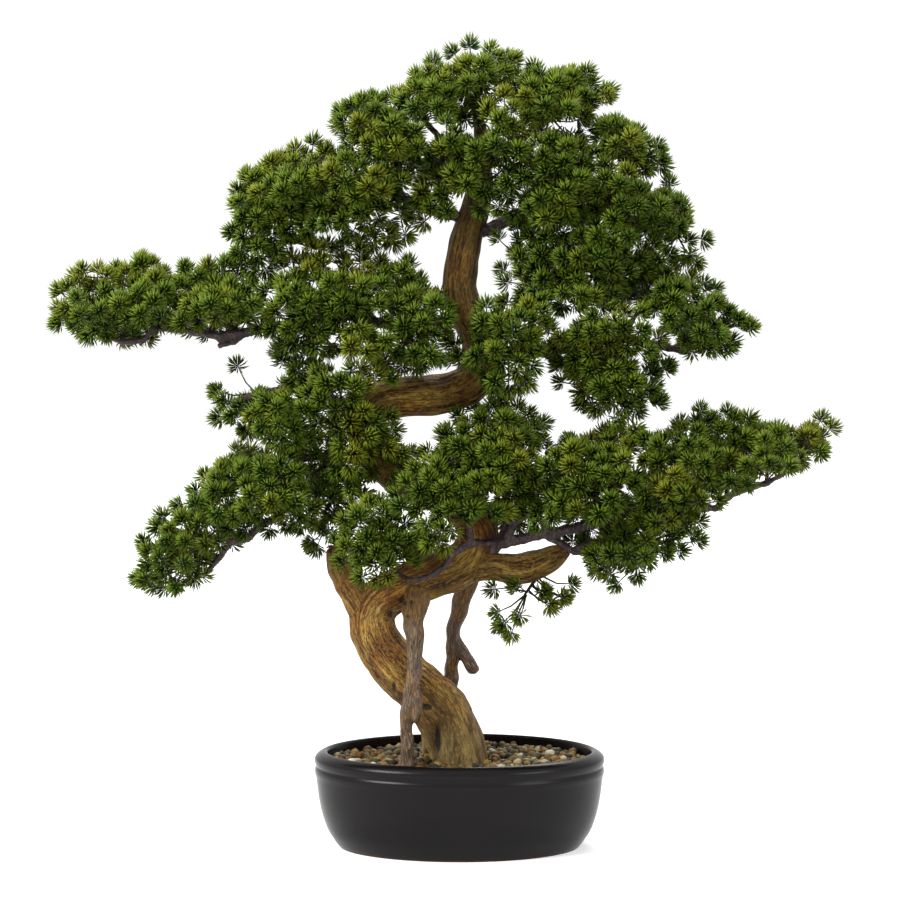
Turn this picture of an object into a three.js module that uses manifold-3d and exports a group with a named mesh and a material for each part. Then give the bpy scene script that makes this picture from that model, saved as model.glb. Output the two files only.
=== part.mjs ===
// Pine bonsai standing in an oval glazed pot, in millimetres, with +Z up.
// The origin is the middle of the pot's foot, +X is to the right of the best view and +Y runs away from it.
import * as THREE from "three";
import Module from "manifold-3d";
import { mergeVertices } from "three/addons/utils/BufferGeometryUtils.js";

const wasm = await Module();
wasm.setup();

// Driving dimensions of the pot
const potHalfLength = 116.2;
const potDepthRatio = 0.72;
const potSides = 32;
const footHalfLength = 95.5;
const wall = 10;
const floorHeight = 10;
const rimHeight = 77;

// Driving dimensions of what fills the pot
const soilTop = 60;
const gravelTop = 69;
const pebbleSpacing = 22;
const pebbleRise = 4;

// Driving dimensions of the wood and the needles
const fit = 0.3;
const sliver = 0.03;
const woodSliver = 0.22;
const barkRidge = 0.05;
const trunkSides = 9;
const propSides = 8;
const branchSides = 5;
const needleLength = 13;
const needleRadius = 0.85;
const needleSplay = 8;
const halfOpen = 42;
const wideOpen = 84;
const budRadius = 1.7;
const stemRadius = 1.3;
const stemBaseRadius = 2.4;
const stemBaseShare = 0.3;
const upwardLean = 0.3;
const coreShare = 0.62;
const coreSides = 5;
const coreRadii = [1.9, 2.8, 2.6, 1.6];
const shootTries = 3;
const shootFan = 20;
const shootRises = [3, 20];
const shootDepths = [26, 74];
const shootSpacing = 32;
const goldenAngle = THREE.MathUtils.degToRad(137.5);

const ceramicBlack = 0x17120f;
const soilBrown = 0x3a2c20;
const gravelTan = 0xa58a66;
const barkOchre = 0x7d5f38;
const barkGrey = 0x5d4a42;
const branchPurple = 0x3f2e30;
const needleGreen = 0x3f6324;

// Seeded draws between 0 and 1, so that every run gives the same tree.
function drawFrom(seed) {
  let state = seed;
  return () => {
    state = (state * 1664525 + 1013904223) % 4294967296;
    return state / 4294967296;
  };
}

function solidOf(geometry) {
  const bare = new THREE.BufferGeometry();
  bare.setAttribute("position", geometry.getAttribute("position"));
  bare.setIndex(geometry.index);
  const merged = mergeVertices(bare, 1e-4);
  const corners = merged.index.array;
  const kept = [];
  for (let i = 0; i < corners.length; i += 3) {
    const [a, b, c] = [corners[i], corners[i + 1], corners[i + 2]];
    if (a !== b && b !== c && c !== a) kept.push(a, b, c);
  }
  const mesh = new wasm.Mesh({
    numProp: 3,
    vertProperties: new Float32Array(merged.attributes.position.array),
    triVerts: new Uint32Array(kept),
  });
  return new wasm.Manifold(mesh);
}

// Joins and cuts leave slivers along their edges, and those thinner than a given size are closed up.
function geometryOf(solid, thinnest) {
  const mesh = solid.simplify(thinnest).getMesh();
  const geometry = new THREE.BufferGeometry();
  geometry.setAttribute("position", new THREE.BufferAttribute(mesh.vertProperties, 3));
  geometry.setIndex(new THREE.BufferAttribute(mesh.triVerts, 1));
  geometry.computeVertexNormals();
  return geometry;
}

function join(solids) {
  return solids.reduce((whole, next) => whole.add(next));
}

// Cutting can leave a scrap on the far side of a stem, and only the largest body is the piece.
function largestOf(solid) {
  const bodies = solid.decompose();
  bodies.sort((a, b) => b.volume() - a.volume());
  return bodies[0];
}

// A tapered round tube along a smooth path of points with a radius each, and its rings turn with the path.
// The shape factor may ridge a ring by its place along the path and its angle.
function tube(path, sides, grow = 0, shape = () => 1) {
  const curve = new THREE.CatmullRomCurve3(path.map(([x, y, z]) => new THREE.Vector3(x, y, z)));
  const steps = path.length - 1;
  const points = [];
  const corners = [];
  let normal = null;
  for (let i = 0; i <= steps; i++) {
    const along = i / steps;
    const radius = path[i][3] + grow;
    const middle = curve.getPoint(along);
    const tangent = curve.getTangent(along);
    normal ??= Math.abs(tangent.z) < 0.9 ? new THREE.Vector3(0, 0, 1) : new THREE.Vector3(0, -1, 0);
    normal = normal.clone().addScaledVector(tangent, -normal.dot(tangent)).normalize();
    const across = tangent.clone().cross(normal);
    for (let j = 0; j < sides; j++) {
      const angle = (2 * Math.PI * j) / sides;
      const reach = radius * shape(along, angle);
      const point = middle.clone().addScaledVector(normal, reach * Math.cos(angle));
      points.push(point.addScaledVector(across, reach * Math.sin(angle)));
    }
  }
  for (let i = 0; i < steps; i++) {
    for (let j = 0; j < sides; j++) {
      const next = (j + 1) % sides;
      const [a, b] = [i * sides + j, i * sides + next];
      corners.push(a, b, b + sides, a, b + sides, a + sides);
    }
  }
  const startBulge = 0.3 * (path[0][3] + grow);
  const endBulge = 0.5 * (path.at(-1)[3] + grow);
  const startMiddle = points.length;
  points.push(curve.getPoint(0).addScaledVector(curve.getTangent(0), -startBulge));
  points.push(curve.getPoint(1).addScaledVector(curve.getTangent(1), endBulge));
  for (let j = 0; j < sides; j++) {
    const next = (j + 1) % sides;
    corners.push(startMiddle, next, j);
    corners.push(startMiddle + 1, steps * sides + j, steps * sides + next);
  }
  const geometry = new THREE.BufferGeometry().setFromPoints(points);
  geometry.setIndex(corners);
  return solidOf(geometry);
}

// Half of the pot's inner outline, as length from the middle against height.
const innerOutline = [
  [84, floorHeight],
  [95, 20],
  [101, 40],
  [103, soilTop],
  [potHalfLength - wall, rimHeight - 4],
];

function innerHalfLength(height) {
  const above = Math.max(1, innerOutline.findIndex(([, z]) => z >= height));
  const [x0, z0] = innerOutline[above - 1];
  const [x1, z1] = innerOutline[above];
  return THREE.MathUtils.mapLinear(height, z0, z1, x0, x1);
}

// An oval turned piece: the outline is turned round the middle and pressed to the pot's depth.
function ovalTurned(outline) {
  const turned = new THREE.LatheGeometry(outline.map(([x, z]) => new THREE.Vector2(x, z)), potSides);
  turned.rotateX(Math.PI / 2);
  turned.scale(1, potDepthRatio, 1);
  return solidOf(turned);
}

function beadOutline(middleX, middleZ, radius, from, to, steps) {
  const bead = [];
  for (let i = 0; i <= steps; i++) {
    const angle = THREE.MathUtils.degToRad(THREE.MathUtils.lerp(from, to, i / steps));
    bead.push([middleX + radius * Math.cos(angle), middleZ + radius * Math.sin(angle)]);
  }
  return bead;
}

// The glazed pot: a flat foot, a bowed side, a recess, two rolled beads and an open inside.
function pot() {
  const lowBead = 4.2;
  const highBead = 7;
  const outline = [
    [0, 0],
    [footHalfLength, 0],
    [99.2, 5],
    [103.8, 14],
    [108, 26],
    [110.6, 38],
    [112, 50],
    ...beadOutline(potHalfLength - lowBead, 58, lowBead, -50, 50, 2),
    ...beadOutline(potHalfLength - highBead, rimHeight - highBead, highBead, -50, 90, 3),
    [potHalfLength - wall + 2.2, rimHeight - 0.6],
    ...innerOutline.toReversed(),
    [0, floorHeight],
  ];
  return ovalTurned(outline);
}

// Trunk, from the foot in the soil to the leader at the very top: x, y, z and half the thickness.
const trunkPath = [
  [-6, 6, 38, 22],
  [-2, 5, 65, 27],
  [-7, 4, 85, 24.5],
  [-18, 2, 106, 21.8],
  [-31, 0, 124, 20.8],
  [-49, -2, 143, 20.3],
  [-64, -3, 163, 18.8],
  [-70, -3, 183, 17.5],
  [-62, -3, 199, 17],
  [-42, -2, 210, 17.5],
  [-20, 0, 218, 18],
  [0, 3, 225, 17.6],
  [12, 8, 237, 17],
  [15, 12, 252, 16.4],
  [7, 15, 268, 16.2],
  [-9, 15, 279, 16.2],
  [-27, 13, 287, 16.2],
  [-45, 10, 296, 16.2],
  [-60, 6, 308, 16],
  [-70, 2, 325, 15.8],
  [-74, -2, 342, 15.5],
  [-66, -5, 356, 15.6],
  [-48, -6, 361, 16],
  [-30, -5, 362, 16.2],
  [-11, -2, 364, 16],
  [6, 1, 370, 15.5],
  [17, 4, 382, 15],
  [18, 6, 397, 14.5],
  [12, 6, 414, 14],
  [4, 3, 430, 13.6],
  [0, 0, 449, 13.4],
  [2, -2, 468, 13],
  [6, -3, 488, 12.4],
  [11, -2, 506, 11.8],
  [15, 0, 523, 10.4],
  [18, 2, 542, 8],
  [18, 3, 560, 6],
  [15, 2, 579, 4.4],
  [11, 0, 598, 3],
];
const limbPath = [
  [2, 2, 222, 12],
  [26, 0, 225, 11],
  [46, -2, 223.5, 12.3],
  [64, -3, 227.5, 11.3],
  [78, -3, 235, 8.6],
  [86, -3, 239, 5],
];
const stubPath = [
  [-72, -3, 184, 13],
  [-84, -4, 204, 11.5],
  [-94, -5, 221, 10],
  [-99, -7, 240, 7.6],
];
const rootPaths = [
  [[0, -6, 104, 12], [12, -13, 80, 10], [18, -18, 56, 8]],
  [[-14, -6, 104, 12], [-15, -13, 80, 10], [-16, -17, 56, 8]],
  [[-18, 14, 104, 11], [-21, 26, 82, 9], [-24, 36, 56, 8]],
  [[-2, 14, 104, 10], [11, 22, 80, 9], [19, 28, 56, 7]],
];

// The trunk with its limb, its left stub and the swellings of its foot is one grown piece.
function trunk(grow = 0) {
  const ridged = (along, angle) => 1 + barkRidge * Math.cos(4 * angle + 14 * along);
  return join([
    tube(trunkPath, trunkSides, grow, ridged),
    tube(limbPath, 8, grow),
    tube(stubPath, 8, grow),
    ...rootPaths.map((path) => tube(path, 6, grow)),
  ]);
}

const frontPropPath = [
  [-34, -12, 204, 12],
  [-35.5, -22, 190, 11],
  [-36.5, -28, 173, 8.4],
  [-36, -31, 150, 7],
  [-37, -33, 133, 6.4],
  [-41, -33, 117, 6.2],
  [-42, -32, 100, 5.4],
  [-41, -31, 84, 5.2],
  [-41, -30, 64, 6],
];
const frontPropLobePath = [
  [-37, -34, 130, 5],
  [-35, -35, 114, 5.6],
  [-35, -34, 101, 4.2],
];
const rearPropPath = [
  [6, 14, 208, 8],
  [0, 19, 190, 7],
  [-5, 23, 170, 6.4],
  [-5, 28, 150, 6],
  [-6, 36, 128, 6.2],
  [-8, 44, 100, 6.6],
  [-6, 48, 64, 7],
];
const rearPropSpurPath = [
  [-2, 25, 158, 4.4],
  [6, 26, 146, 4.8],
  [13, 27, 136, 5.2],
];

function frontProp(grow = 0) {
  const knobbly = (along, angle) => 1 + 0.08 * Math.cos(3 * angle + 20 * along);
  return join([tube(frontPropPath, propSides, grow, knobbly), tube(frontPropLobePath, 6, grow)]);
}

function rearProp(grow = 0) {
  const knobbly = (along, angle) => 1 + 0.08 * Math.cos(3 * angle + 17 * along);
  return join([tube(rearPropPath, propSides, grow, knobbly), tube(rearPropSpurPath, 6, grow)]);
}

// Each dark branch is one grown piece of one or more paths, and its first point lies inside the trunk.
const branches = {
  branch_far_left: [
    [[-2, -2, 425, 6], [-22, -12, 420, 5.6], [-48, -16, 417, 5.4], [-92, -20, 427, 5], [-128, -20, 421, 4.6],
      [-164, -16, 414, 4.4], [-190, -14, 410, 4], [-216, -12, 414, 3.6], [-242, -10, 416, 3.4],
      [-250, -10, 406, 3.4], [-268, -12, 405, 3.2], [-284, -12, 413, 2.4]],
    [[-164, -16, 414, 3], [-178, -16, 405, 3], [-190, -15, 402, 2.6]],
  ],
  branch_middle_left: [
    [[-72, -2, 346, 5.6], [-92, -9, 355, 5], [-108, -11, 364, 4.4], [-130, -12, 368, 4],
      [-158, -12, 365, 3.4], [-180, -12, 357, 2.6]],
  ],
  branch_low_left: [
    [[-60, 6, 306, 5.4], [-84, 0, 311, 4.8], [-106, -5, 314, 4.2], [-126, -8, 313, 4], [-140, -10, 292, 4],
      [-144, -12, 266, 4], [-160, -12, 258, 4], [-168, -12, 249, 4], [-182, -12, 246, 3.6],
      [-192, -12, 232, 3.2], [-201, -12, 221, 2.4]],
    [[-98, -3, 313, 3.4], [-113, 3, 300, 3], [-112, 6, 272, 2.4]],
    [[-139, -10, 294, 3.4], [-158, -9, 296, 3], [-178, -8, 292, 2.8], [-196, -8, 285, 2.2]],
  ],
  branch_upper_left: [
    [[8, -2, 502, 6], [-10, -6, 506, 5.6], [-26, -9, 510, 5.2], [-48, -12, 521, 4.8], [-68, -14, 524, 4.4],
      [-92, -16, 508, 4], [-112, -14, 506, 3.8], [-136, -10, 513, 3.4], [-158, -8, 512, 3],
      [-170, -8, 506, 2.2]],
    [[-46, -12, 520, 4], [-52, -14, 546, 3.6], [-64, -14, 572, 2.4]],
  ],
  branch_crown_left: [
    [[17, 2, 546, 4.4], [2, -3, 552, 3.8], [-12, -6, 562, 3.4], [-26, -8, 577, 3], [-31, -6, 592, 2.2]],
  ],
  branch_crown_right: [
    [[16, 3, 550, 4.4], [34, -2, 556, 4], [50, -6, 566, 3.6], [66, -8, 578, 3.2], [88, -8, 592, 2.8],
      [102, -6, 602, 2]],
  ],
  branch_upper_right: [
    [[7, -2, 490, 7], [24, -5, 494, 6.4], [46, -8, 505, 6], [80, -8, 507, 4.8], [118, -6, 504, 4.2],
      [150, -6, 499, 3.6], [174, -6, 487, 2.4]],
    [[44, -8, 504, 4.4], [54, -11, 490, 4.2], [66, -14, 478, 3.8], [92, -18, 467, 2.4]],
    [[98, -7, 506, 3.6], [118, -6, 526, 3.2], [136, -6, 548, 2.8], [144, -6, 563, 2]],
  ],
  branch_middle_right: [
    [[17, 6, 390, 6], [36, 0, 394, 5.4], [68, -8, 397, 5], [96, -10, 403, 4.4], [128, -10, 408, 4],
      [158, -10, 402, 3.6], [176, -10, 398, 3.2], [190, -10, 405, 2.2]],
    [[66, -8, 396, 4], [86, -11, 388, 3.8], [106, -14, 379, 3.4], [122, -14, 370, 2.2]],
    [[126, -10, 407, 3], [138, -9, 424, 2.8], [148, -8, 438, 2]],
    [[52, -5, 394, 3.6], [56, -8, 414, 3.4], [60, -8, 436, 3], [90, -8, 453, 2.2]],
    [[52, -6, 394, 3], [54, -7, 380, 2.6], [46, -4, 366, 2]],
  ],
  branch_limb: [
    [[22, 0, 226, 6], [30, -3, 243, 6], [48, -8, 248, 5.6], [69, -10, 253, 5.4], [93, -12, 257, 5.2],
      [114, -12, 263, 5], [144, -10, 273, 4.6], [176, -10, 271, 4.2], [204, -10, 273, 3.8],
      [214, -10, 283, 3.6], [228, -10, 289, 3.6], [244, -10, 293, 3.4], [258, -10, 301, 3],
      [271, -10, 309, 2.2]],
    [[34, -5, 244, 4.4], [44, -16, 263, 4.2], [54, -18, 270, 4], [64, -16, 265, 3.8], [69, -11, 254, 3.6]],
    [[67, -10, 252, 4], [80, -14, 245, 4], [92, -14, 238, 3.6], [104, -14, 237, 3.2], [116, -14, 240, 2.2]],
    [[88, -14, 239, 3.4], [104, -14, 246, 3.4], [118, -14, 247, 3.2], [144, -12, 250, 2.8],
      [163, -12, 246, 2]],
    [[113, -12, 262, 3.6], [106, -10, 290, 3.2], [100, -8, 317, 2.2]],
    [[143, -10, 272, 3.6], [166, -9, 292, 3.2], [184, -8, 313, 2.2]],
    [[31, -3, 242, 5], [38, 0, 262, 4.4], [36, 2, 300, 4], [32, 0, 329, 3.4], [43, 0, 349, 2.2]],
    [[34, -3, 244, 4.6], [24, -14, 246, 4.2], [10, -21, 246, 3.8], [-4, -23, 240, 3.6], [-11, -24, 229, 3.4],
      [-21, -24, 222, 3.4], [-33, -25, 217, 3], [-46, -25, 219, 2.2]],
    [[9, -21, 246, 3.2], [8, -26, 262, 3], [-4, -30, 276, 2.6], [-16, -31, 285, 2]],
  ],
};

function branchSolid(paths, grow = 0) {
  const gnarled = (along, angle) => 1 + 0.1 * Math.cos(2 * angle + 23 * along);
  return join(paths.map((path) => tube(path, branchSides, grow, gnarled)));
}

// Each spray of needles: the branch that bears it, where its stem leaves that branch, and the hand-set
// places of its outer tufts.
const sprays = {
  spray_far_left_end: ["branch_far_left", [-272, -12, 407], [[-315, -16, 445], [-316, -8, 422],
    [-292, -22, 411], [-296, 6, 449], [-284, -22, 462], [-278, -72, 432]]],
  spray_far_left_middle: ["branch_far_left", [-240, -10, 416], [[-265, 8, 460], [-250, -8, 468],
    [-236, 14, 458], [-246, -77, 430], [-262, 55, 436], [-230, -44, 446]]],
  spray_far_left_inner: ["branch_far_left", [-196, -14, 411], [[-216, 4, 460], [-198, -14, 464],
    [-214, -72, 424], [-206, 63, 440], [-184, -4, 466], [-178, -80, 434], [-168, -26, 446]]],
  spray_upper_left_end: ["branch_upper_left", [-164, -8, 509], [[-167, -12, 534], [-174, -24, 514],
    [-173, -4, 494], [-164, 14, 485], [-156, -66, 505], [-158, -28, 472]]],
  spray_upper_left_middle: ["branch_upper_left", [-122, -12, 508], [[-126, -30, 472], [-154, 4, 540],
    [-142, -14, 546], [-136, -77, 524], [-134, -44, 494], [-122, 8, 550], [-106, -12, 555],
    [-104, 63, 520]]],
  spray_top_left: ["branch_upper_left", [-57, -14, 558], [[-92, -8, 587], [-95, -20, 575],
    [-68, 2, 596], [-78, -66, 577], [-47, -4, 599], [-48, -80, 560], [-80, -40, 550]]],
  spray_top_left_low: ["branch_upper_left", [-68, -14, 524], [[-66, 61, 520], [-98, -77, 540],
    [-70, -86, 528], [-52, -16, 484], [-84, -28, 492], [-112, -63, 500], [-44, -50, 532]]],
  spray_crown_left: ["branch_crown_left", [-29, -7, 586], [[-21, -4, 625], [-33, -14, 614], [-38, 6, 602],
    [-16, -69, 590]]],
  spray_crown_top: ["trunk", [13, 1, 586], [[-5, -6, 632], [8, 4, 638], [24, -4, 634], [6, -66, 608],
    [38, 2, 628]]],
  spray_crown_right: ["branch_crown_right", [72, -8, 582], [[59, -2, 620], [76, -16, 612],
    [66, -77, 590], [62, 63, 592], [92, 2, 612], [116, -20, 602], [98, -30, 584]]],
  spray_crown_front: ["branch_crown_right", [34, -2, 556], [[46, 64, 560], [40, -80, 588],
    [28, -86, 560], [50, -69, 536], [30, -56, 512]]],
  spray_crown_inner: ["trunk", [17, 2, 538], [[-8, 77, 564], [-6, -80, 562], [6, -75, 530],
    [-26, 55, 540], [-22, -54, 512]]],
  spray_right_top: ["branch_upper_right", [138, -6, 552], [[124, 2, 578], [140, -10, 569],
    [148, -20, 552], [120, -69, 560], [160, 2, 544]]],
  spray_right_shoulder: ["branch_upper_right", [168, -6, 490], [[186, -20, 468], [165, -12, 530],
    [176, -4, 508], [192, -12, 486], [162, -63, 500], [160, 58, 500]]],
  spray_right_front: ["branch_upper_right", [118, -6, 504], [[112, -80, 534], [136, -83, 514],
    [118, -77, 484], [122, 75, 520]]],
  spray_right_inner: ["branch_upper_right", [80, -8, 507], [[64, -83, 552], [82, -86, 526], [66, -80, 504],
    [92, -47, 558], [82, 69, 530]]],
  spray_right_under: ["branch_upper_right", [84, -17, 470], [[92, -75, 474], [118, -52, 464],
    [108, 2, 458], [146, -28, 462], [106, -34, 494]]],
  spray_middle_right_end: ["branch_middle_right", [184, -10, 402], [[209, -4, 429], [222, -16, 421],
    [212, -6, 401], [194, -41, 402], [186, -75, 416], [182, 55, 414]]],
  spray_middle_right_top: ["branch_middle_right", [146, -8, 436], [[193, -2, 450], [170, -14, 453],
    [202, -24, 437], [152, 16, 456], [162, -77, 428]]],
  spray_middle_right_front: ["branch_middle_right", [110, -10, 406], [[110, 50, 416], [92, -72, 414],
    [126, -77, 420], [146, -75, 402], [102, -56, 386]]],
  spray_middle_right_low: ["branch_middle_right", [116, -14, 374], [[92, -2, 372], [154, -10, 370],
    [163, -16, 386], [140, -22, 362], [130, -8, 350], [104, -12, 354], [122, -66, 376]]],
  spray_inner_right: ["branch_middle_right", [72, -8, 444], [[34, -8, 462], [46, -16, 474], [62, 6, 472],
    [86, 10, 469], [94, -69, 444], [120, -41, 444]]],
  spray_inner_right_front: ["branch_middle_right", [40, -1, 395], [[18, -75, 424], [42, -88, 418],
    [64, -66, 432], [14, -69, 398], [46, -72, 394], [38, -50, 370]]],
  spray_middle_left_inner: ["branch_far_left", [-44, -16, 417], [[-50, -8, 460], [-31, -16, 454],
    [-16, -8, 442], [-28, -80, 424], [-22, -75, 398], [-48, -62, 400]]],
  spray_middle_left_front: ["branch_far_left", [-90, -20, 427], [[-90, 66, 430], [-76, -10, 469],
    [-97, 4, 475], [-62, -75, 438], [-90, -83, 440], [-72, -86, 402]]],
  spray_middle_left_outer: ["branch_far_left", [-128, -20, 421], [[-139, -36, 396], [-126, 61, 430],
    [-124, -6, 468], [-142, -24, 450], [-116, -83, 440], [-112, -55, 404], [-146, -62, 418]]],
  spray_left_above_bend: ["branch_middle_left", [-100, -10, 360], [[-98, 47, 366], [-92, -69, 378],
    [-64, -63, 382], [-126, -22, 388], [-120, -69, 356], [-66, -50, 344], [-56, -44, 324],
    [-80, -46, 318], [-96, -50, 340]]],
  spray_left_small: ["branch_middle_left", [-160, -12, 364], [[-192, 4, 368], [-150, 0, 386],
    [-190, -18, 346], [-168, -8, 334], [-140, -69, 344], [-120, -44, 332], [-146, 47, 352]]],
  spray_low_left_end: ["branch_low_left", [-194, -12, 230], [[-249, -10, 222], [-226, -14, 213],
    [-210, -22, 223], [-234, -55, 238], [-222, 26, 234]]],
  spray_low_left_outer: ["branch_low_left", [-178, -12, 247], [[-238, -8, 258], [-247, -18, 243],
    [-222, 4, 266], [-214, -63, 252]]],
  spray_low_left_top: ["branch_low_left", [-186, -8, 289], [[-210, -4, 286], [-222, -16, 276],
    [-193, 8, 296], [-176, -4, 319], [-183, 12, 306], [-188, -69, 274], [-166, -40, 296]]],
  spray_low_left_front: ["branch_low_left", [-139, -10, 290], [[-150, -30, 258], [-140, 52, 286],
    [-140, -50, 311], [-146, -75, 284], [-126, -52, 270], [-166, -72, 278]]],
  spray_low_left_hanging: ["branch_low_left", [-112, 5, 278], [[-114, 2, 240], [-92, -8, 260],
    [-88, 10, 286], [-106, -20, 296]]],
  spray_limb_left: ["branch_limb", [-42, -25, 218], [[-92, -50, 235], [-76, -58, 224], [-56, -61, 225],
    [-88, -63, 254], [-64, -75, 246], [-72, -69, 274], [-40, -66, 254]]],
  spray_limb_middle: ["branch_limb", [-12, -31, 283], [[-34, -66, 309], [-12, -88, 296],
    [-46, -83, 282], [-24, -80, 252], [10, -86, 280], [28, -75, 276], [-6, -72, 262]]],
  spray_centre_top: ["branch_limb", [38, 0, 340], [[-8, -12, 326], [4, -2, 337], [20, -10, 347],
    [10, -66, 320], [54, -18, 348], [66, -4, 340], [70, -14, 320], [42, -61, 332]]],
  spray_centre: ["branch_limb", [35, 2, 304], [[34, -80, 312], [58, -63, 302], [14, -88, 302],
    [30, 75, 310], [0, 66, 300]]],
  spray_low_right_inner: ["branch_limb", [103, -9, 304], [[86, -86, 314], [112, -91, 308],
    [134, -83, 300], [80, -80, 284], [108, -86, 276], [84, -2, 318], [104, -8, 326], [126, -4, 328],
    [94, 56, 304], [60, -70, 266]]],
  spray_low_right_middle: ["branch_limb", [172, -10, 272], [[160, -83, 294], [186, -77, 286],
    [152, -72, 268], [170, 66, 290]]],
  spray_low_right_top: ["branch_limb", [180, -8, 308], [[160, -4, 324], [174, 6, 334], [188, -10, 342],
    [190, -69, 314], [146, -50, 314]]],
  spray_far_right_inner: ["branch_limb", [212, -10, 281], [[202, 0, 342], [217, -12, 344],
    [230, 4, 336], [210, -69, 300], [212, 55, 306]]],
  spray_far_right_middle: ["branch_limb", [244, -10, 293], [[236, -16, 334], [250, 2, 329],
    [240, -72, 314], [256, -26, 318], [240, 50, 318]]],
  spray_far_right_end: ["branch_limb", [267, -10, 307], [[274, -4, 330], [294, -14, 337],
    [286, -10, 319], [262, 14, 330], [268, -24, 314]]],
  spray_low_right_under: ["branch_limb", [152, -12, 248], [[184, -14, 252], [176, -4, 238],
    [188, -42, 266], [150, -18, 232], [132, -18, 228], [125, -14, 213], [110, -10, 223],
    [130, -63, 242], [106, -52, 240]]],
  spray_drooping: ["trunk", [60, -3, 222], [[27, -8, 208], [30, -12, 190], [32, -4, 178], [41, -10, 172],
    [48, -22, 188], [66, -6, 206], [72, -10, 194], [82, -4, 200]]],
};

// A stretch of round stem as its two ends, its radius and the piece that it belongs to.
function stretch(from, to, radius, owner) {
  return { from, to, radius, owner };
}

// The room left between two round stretches, from the nearest points of their middle lines.
function roomBetween(one, other) {
  const ray = one.to.clone().sub(one.from);
  const otherRay = other.to.clone().sub(other.from);
  const apart = one.from.clone().sub(other.from);
  const a = ray.lengthSq() + 1e-9;
  const e = otherRay.lengthSq() + 1e-9;
  const b = ray.dot(otherRay);
  const c = ray.dot(apart);
  const f = otherRay.dot(apart);
  const clamp = (value) => Math.min(1, Math.max(0, value));
  const slant = a * e - b * b;
  let s = slant > 1e-6 ? clamp((b * f - c * e) / slant) : 0;
  let t = (b * s + f) / e;
  if (t < 0 || t > 1) {
    t = clamp(t);
    s = clamp((b * t - c) / a);
  }
  const near = one.from.clone().addScaledVector(ray, s);
  const otherNear = other.from.clone().addScaledVector(otherRay, t);
  return near.distanceTo(otherNear) - one.radius - other.radius;
}

function pathStretches(path, owner) {
  const curve = new THREE.CatmullRomCurve3(path.map(([x, y, z]) => new THREE.Vector3(x, y, z)));
  const points = curve.getPoints((path.length - 1) * 2);
  const barkSpare = 1.12;
  return points.slice(1).map((to, i) => {
    const radius = Math.max(path[Math.floor(i / 2)][3], path[Math.floor(i / 2) + 1][3]) * barkSpare;
    return stretch(points[i], to, radius, owner);
  });
}

const placed = [];
const woodPaths = {
  trunk: [trunkPath, limbPath, stubPath, ...rootPaths],
  prop_front: [frontPropPath, frontPropLobePath],
  prop_rear: [rearPropPath, rearPropSpurPath],
  ...branches,
};
for (const [owner, paths] of Object.entries(woodPaths)) {
  for (const path of paths) placed.push(...pathStretches(path, owner));
}

// The slim core of a spray: rings of five along its axis, closed by a point at each end.
function coreOf(root, end) {
  const axis = end.clone().sub(root);
  const direction = axis.clone().normalize();
  const helper = Math.abs(direction.z) > 0.9 ? new THREE.Vector3(1, 0, 0) : new THREE.Vector3(0, 0, 1);
  const side = direction.clone().cross(helper).normalize();
  const rise = direction.clone().cross(side);
  const points = [];
  coreRadii.forEach((radius, i) => {
    const middle = root.clone().addScaledVector(axis, i / (coreRadii.length - 1));
    for (let j = 0; j < coreSides; j++) {
      const angle = ((j + 0.5 * (i % 2)) * 2 * Math.PI) / coreSides;
      points.push(middle.clone()
        .addScaledVector(side, radius * Math.cos(angle))
        .addScaledVector(rise, radius * Math.sin(angle)));
    }
  });
  const faces = [];
  const last = (coreRadii.length - 1) * coreSides;
  const startPoint = points.push(root.clone().addScaledVector(direction, -1)) - 1;
  const endPoint = points.push(end.clone().addScaledVector(direction, coreRadii.at(-1))) - 1;
  for (let j = 0; j < coreSides; j++) {
    const next = (j + 1) % coreSides;
    faces.push([startPoint, next, j], [endPoint, last + j, last + next]);
    for (let i = 0; i < coreRadii.length - 1; i++) {
      const [a, b, c, d] = [i * coreSides + j, i * coreSides + next, (i + 1) * coreSides + next,
        (i + 1) * coreSides + j];
      if (i % 2 === 0) faces.push([a, b, d], [b, c, d]);
      else faces.push([a, b, c], [a, c, d]);
    }
  }
  return { points, faces, startPoint };
}

function faceMiddle(core, face) {
  return face.reduce((sum, id) => sum.add(core.points[id]), new THREE.Vector3()).divideScalar(3);
}

function faceNormal(core, [a, b, c]) {
  const one = core.points[b].clone().sub(core.points[a]);
  return one.cross(core.points[c].clone().sub(core.points[a])).normalize();
}

// A stem is widest where it leaves the core, so it counts as a thick base and a slim rest.
function stemStretches(from, tip, owner) {
  const slimFrom = from.clone().lerp(tip, stemBaseShare);
  return [stretch(from, slimFrom, stemBaseRadius, owner), stretch(slimFrom, tip, stemRadius, owner)];
}

// The free faces of the core from which a straight stem runs clear to the tip, those that look most
// towards it first.
function stemFaces(core, used, tip, owner, carrier) {
  const leastFacing = 0.3;
  const choices = core.faces
    .filter((face) => !used.has(face) && !face.includes(core.startPoint))
    .map((face) => {
      const from = faceMiddle(core, face);
      const facing = faceNormal(core, face).dot(tip.clone().sub(from).normalize());
      return { face, from, facing };
    })
    .filter(({ facing }) => facing > leastFacing)
    .sort((one, other) => other.facing - one.facing);
  return choices.filter(({ from }) => {
    const [base, outer] = stemStretches(from, tip, owner);
    return placed.every((other) => {
      if (other.owner === carrier) return roomBetween(outer, other) > fit;
      if (other.owner === owner) return !other.isStem || roomBetween(outer, other) > fit;
      return roomBetween(base, other) > fit && roomBetween(outer, other) > fit;
    });
  });
}

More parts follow.
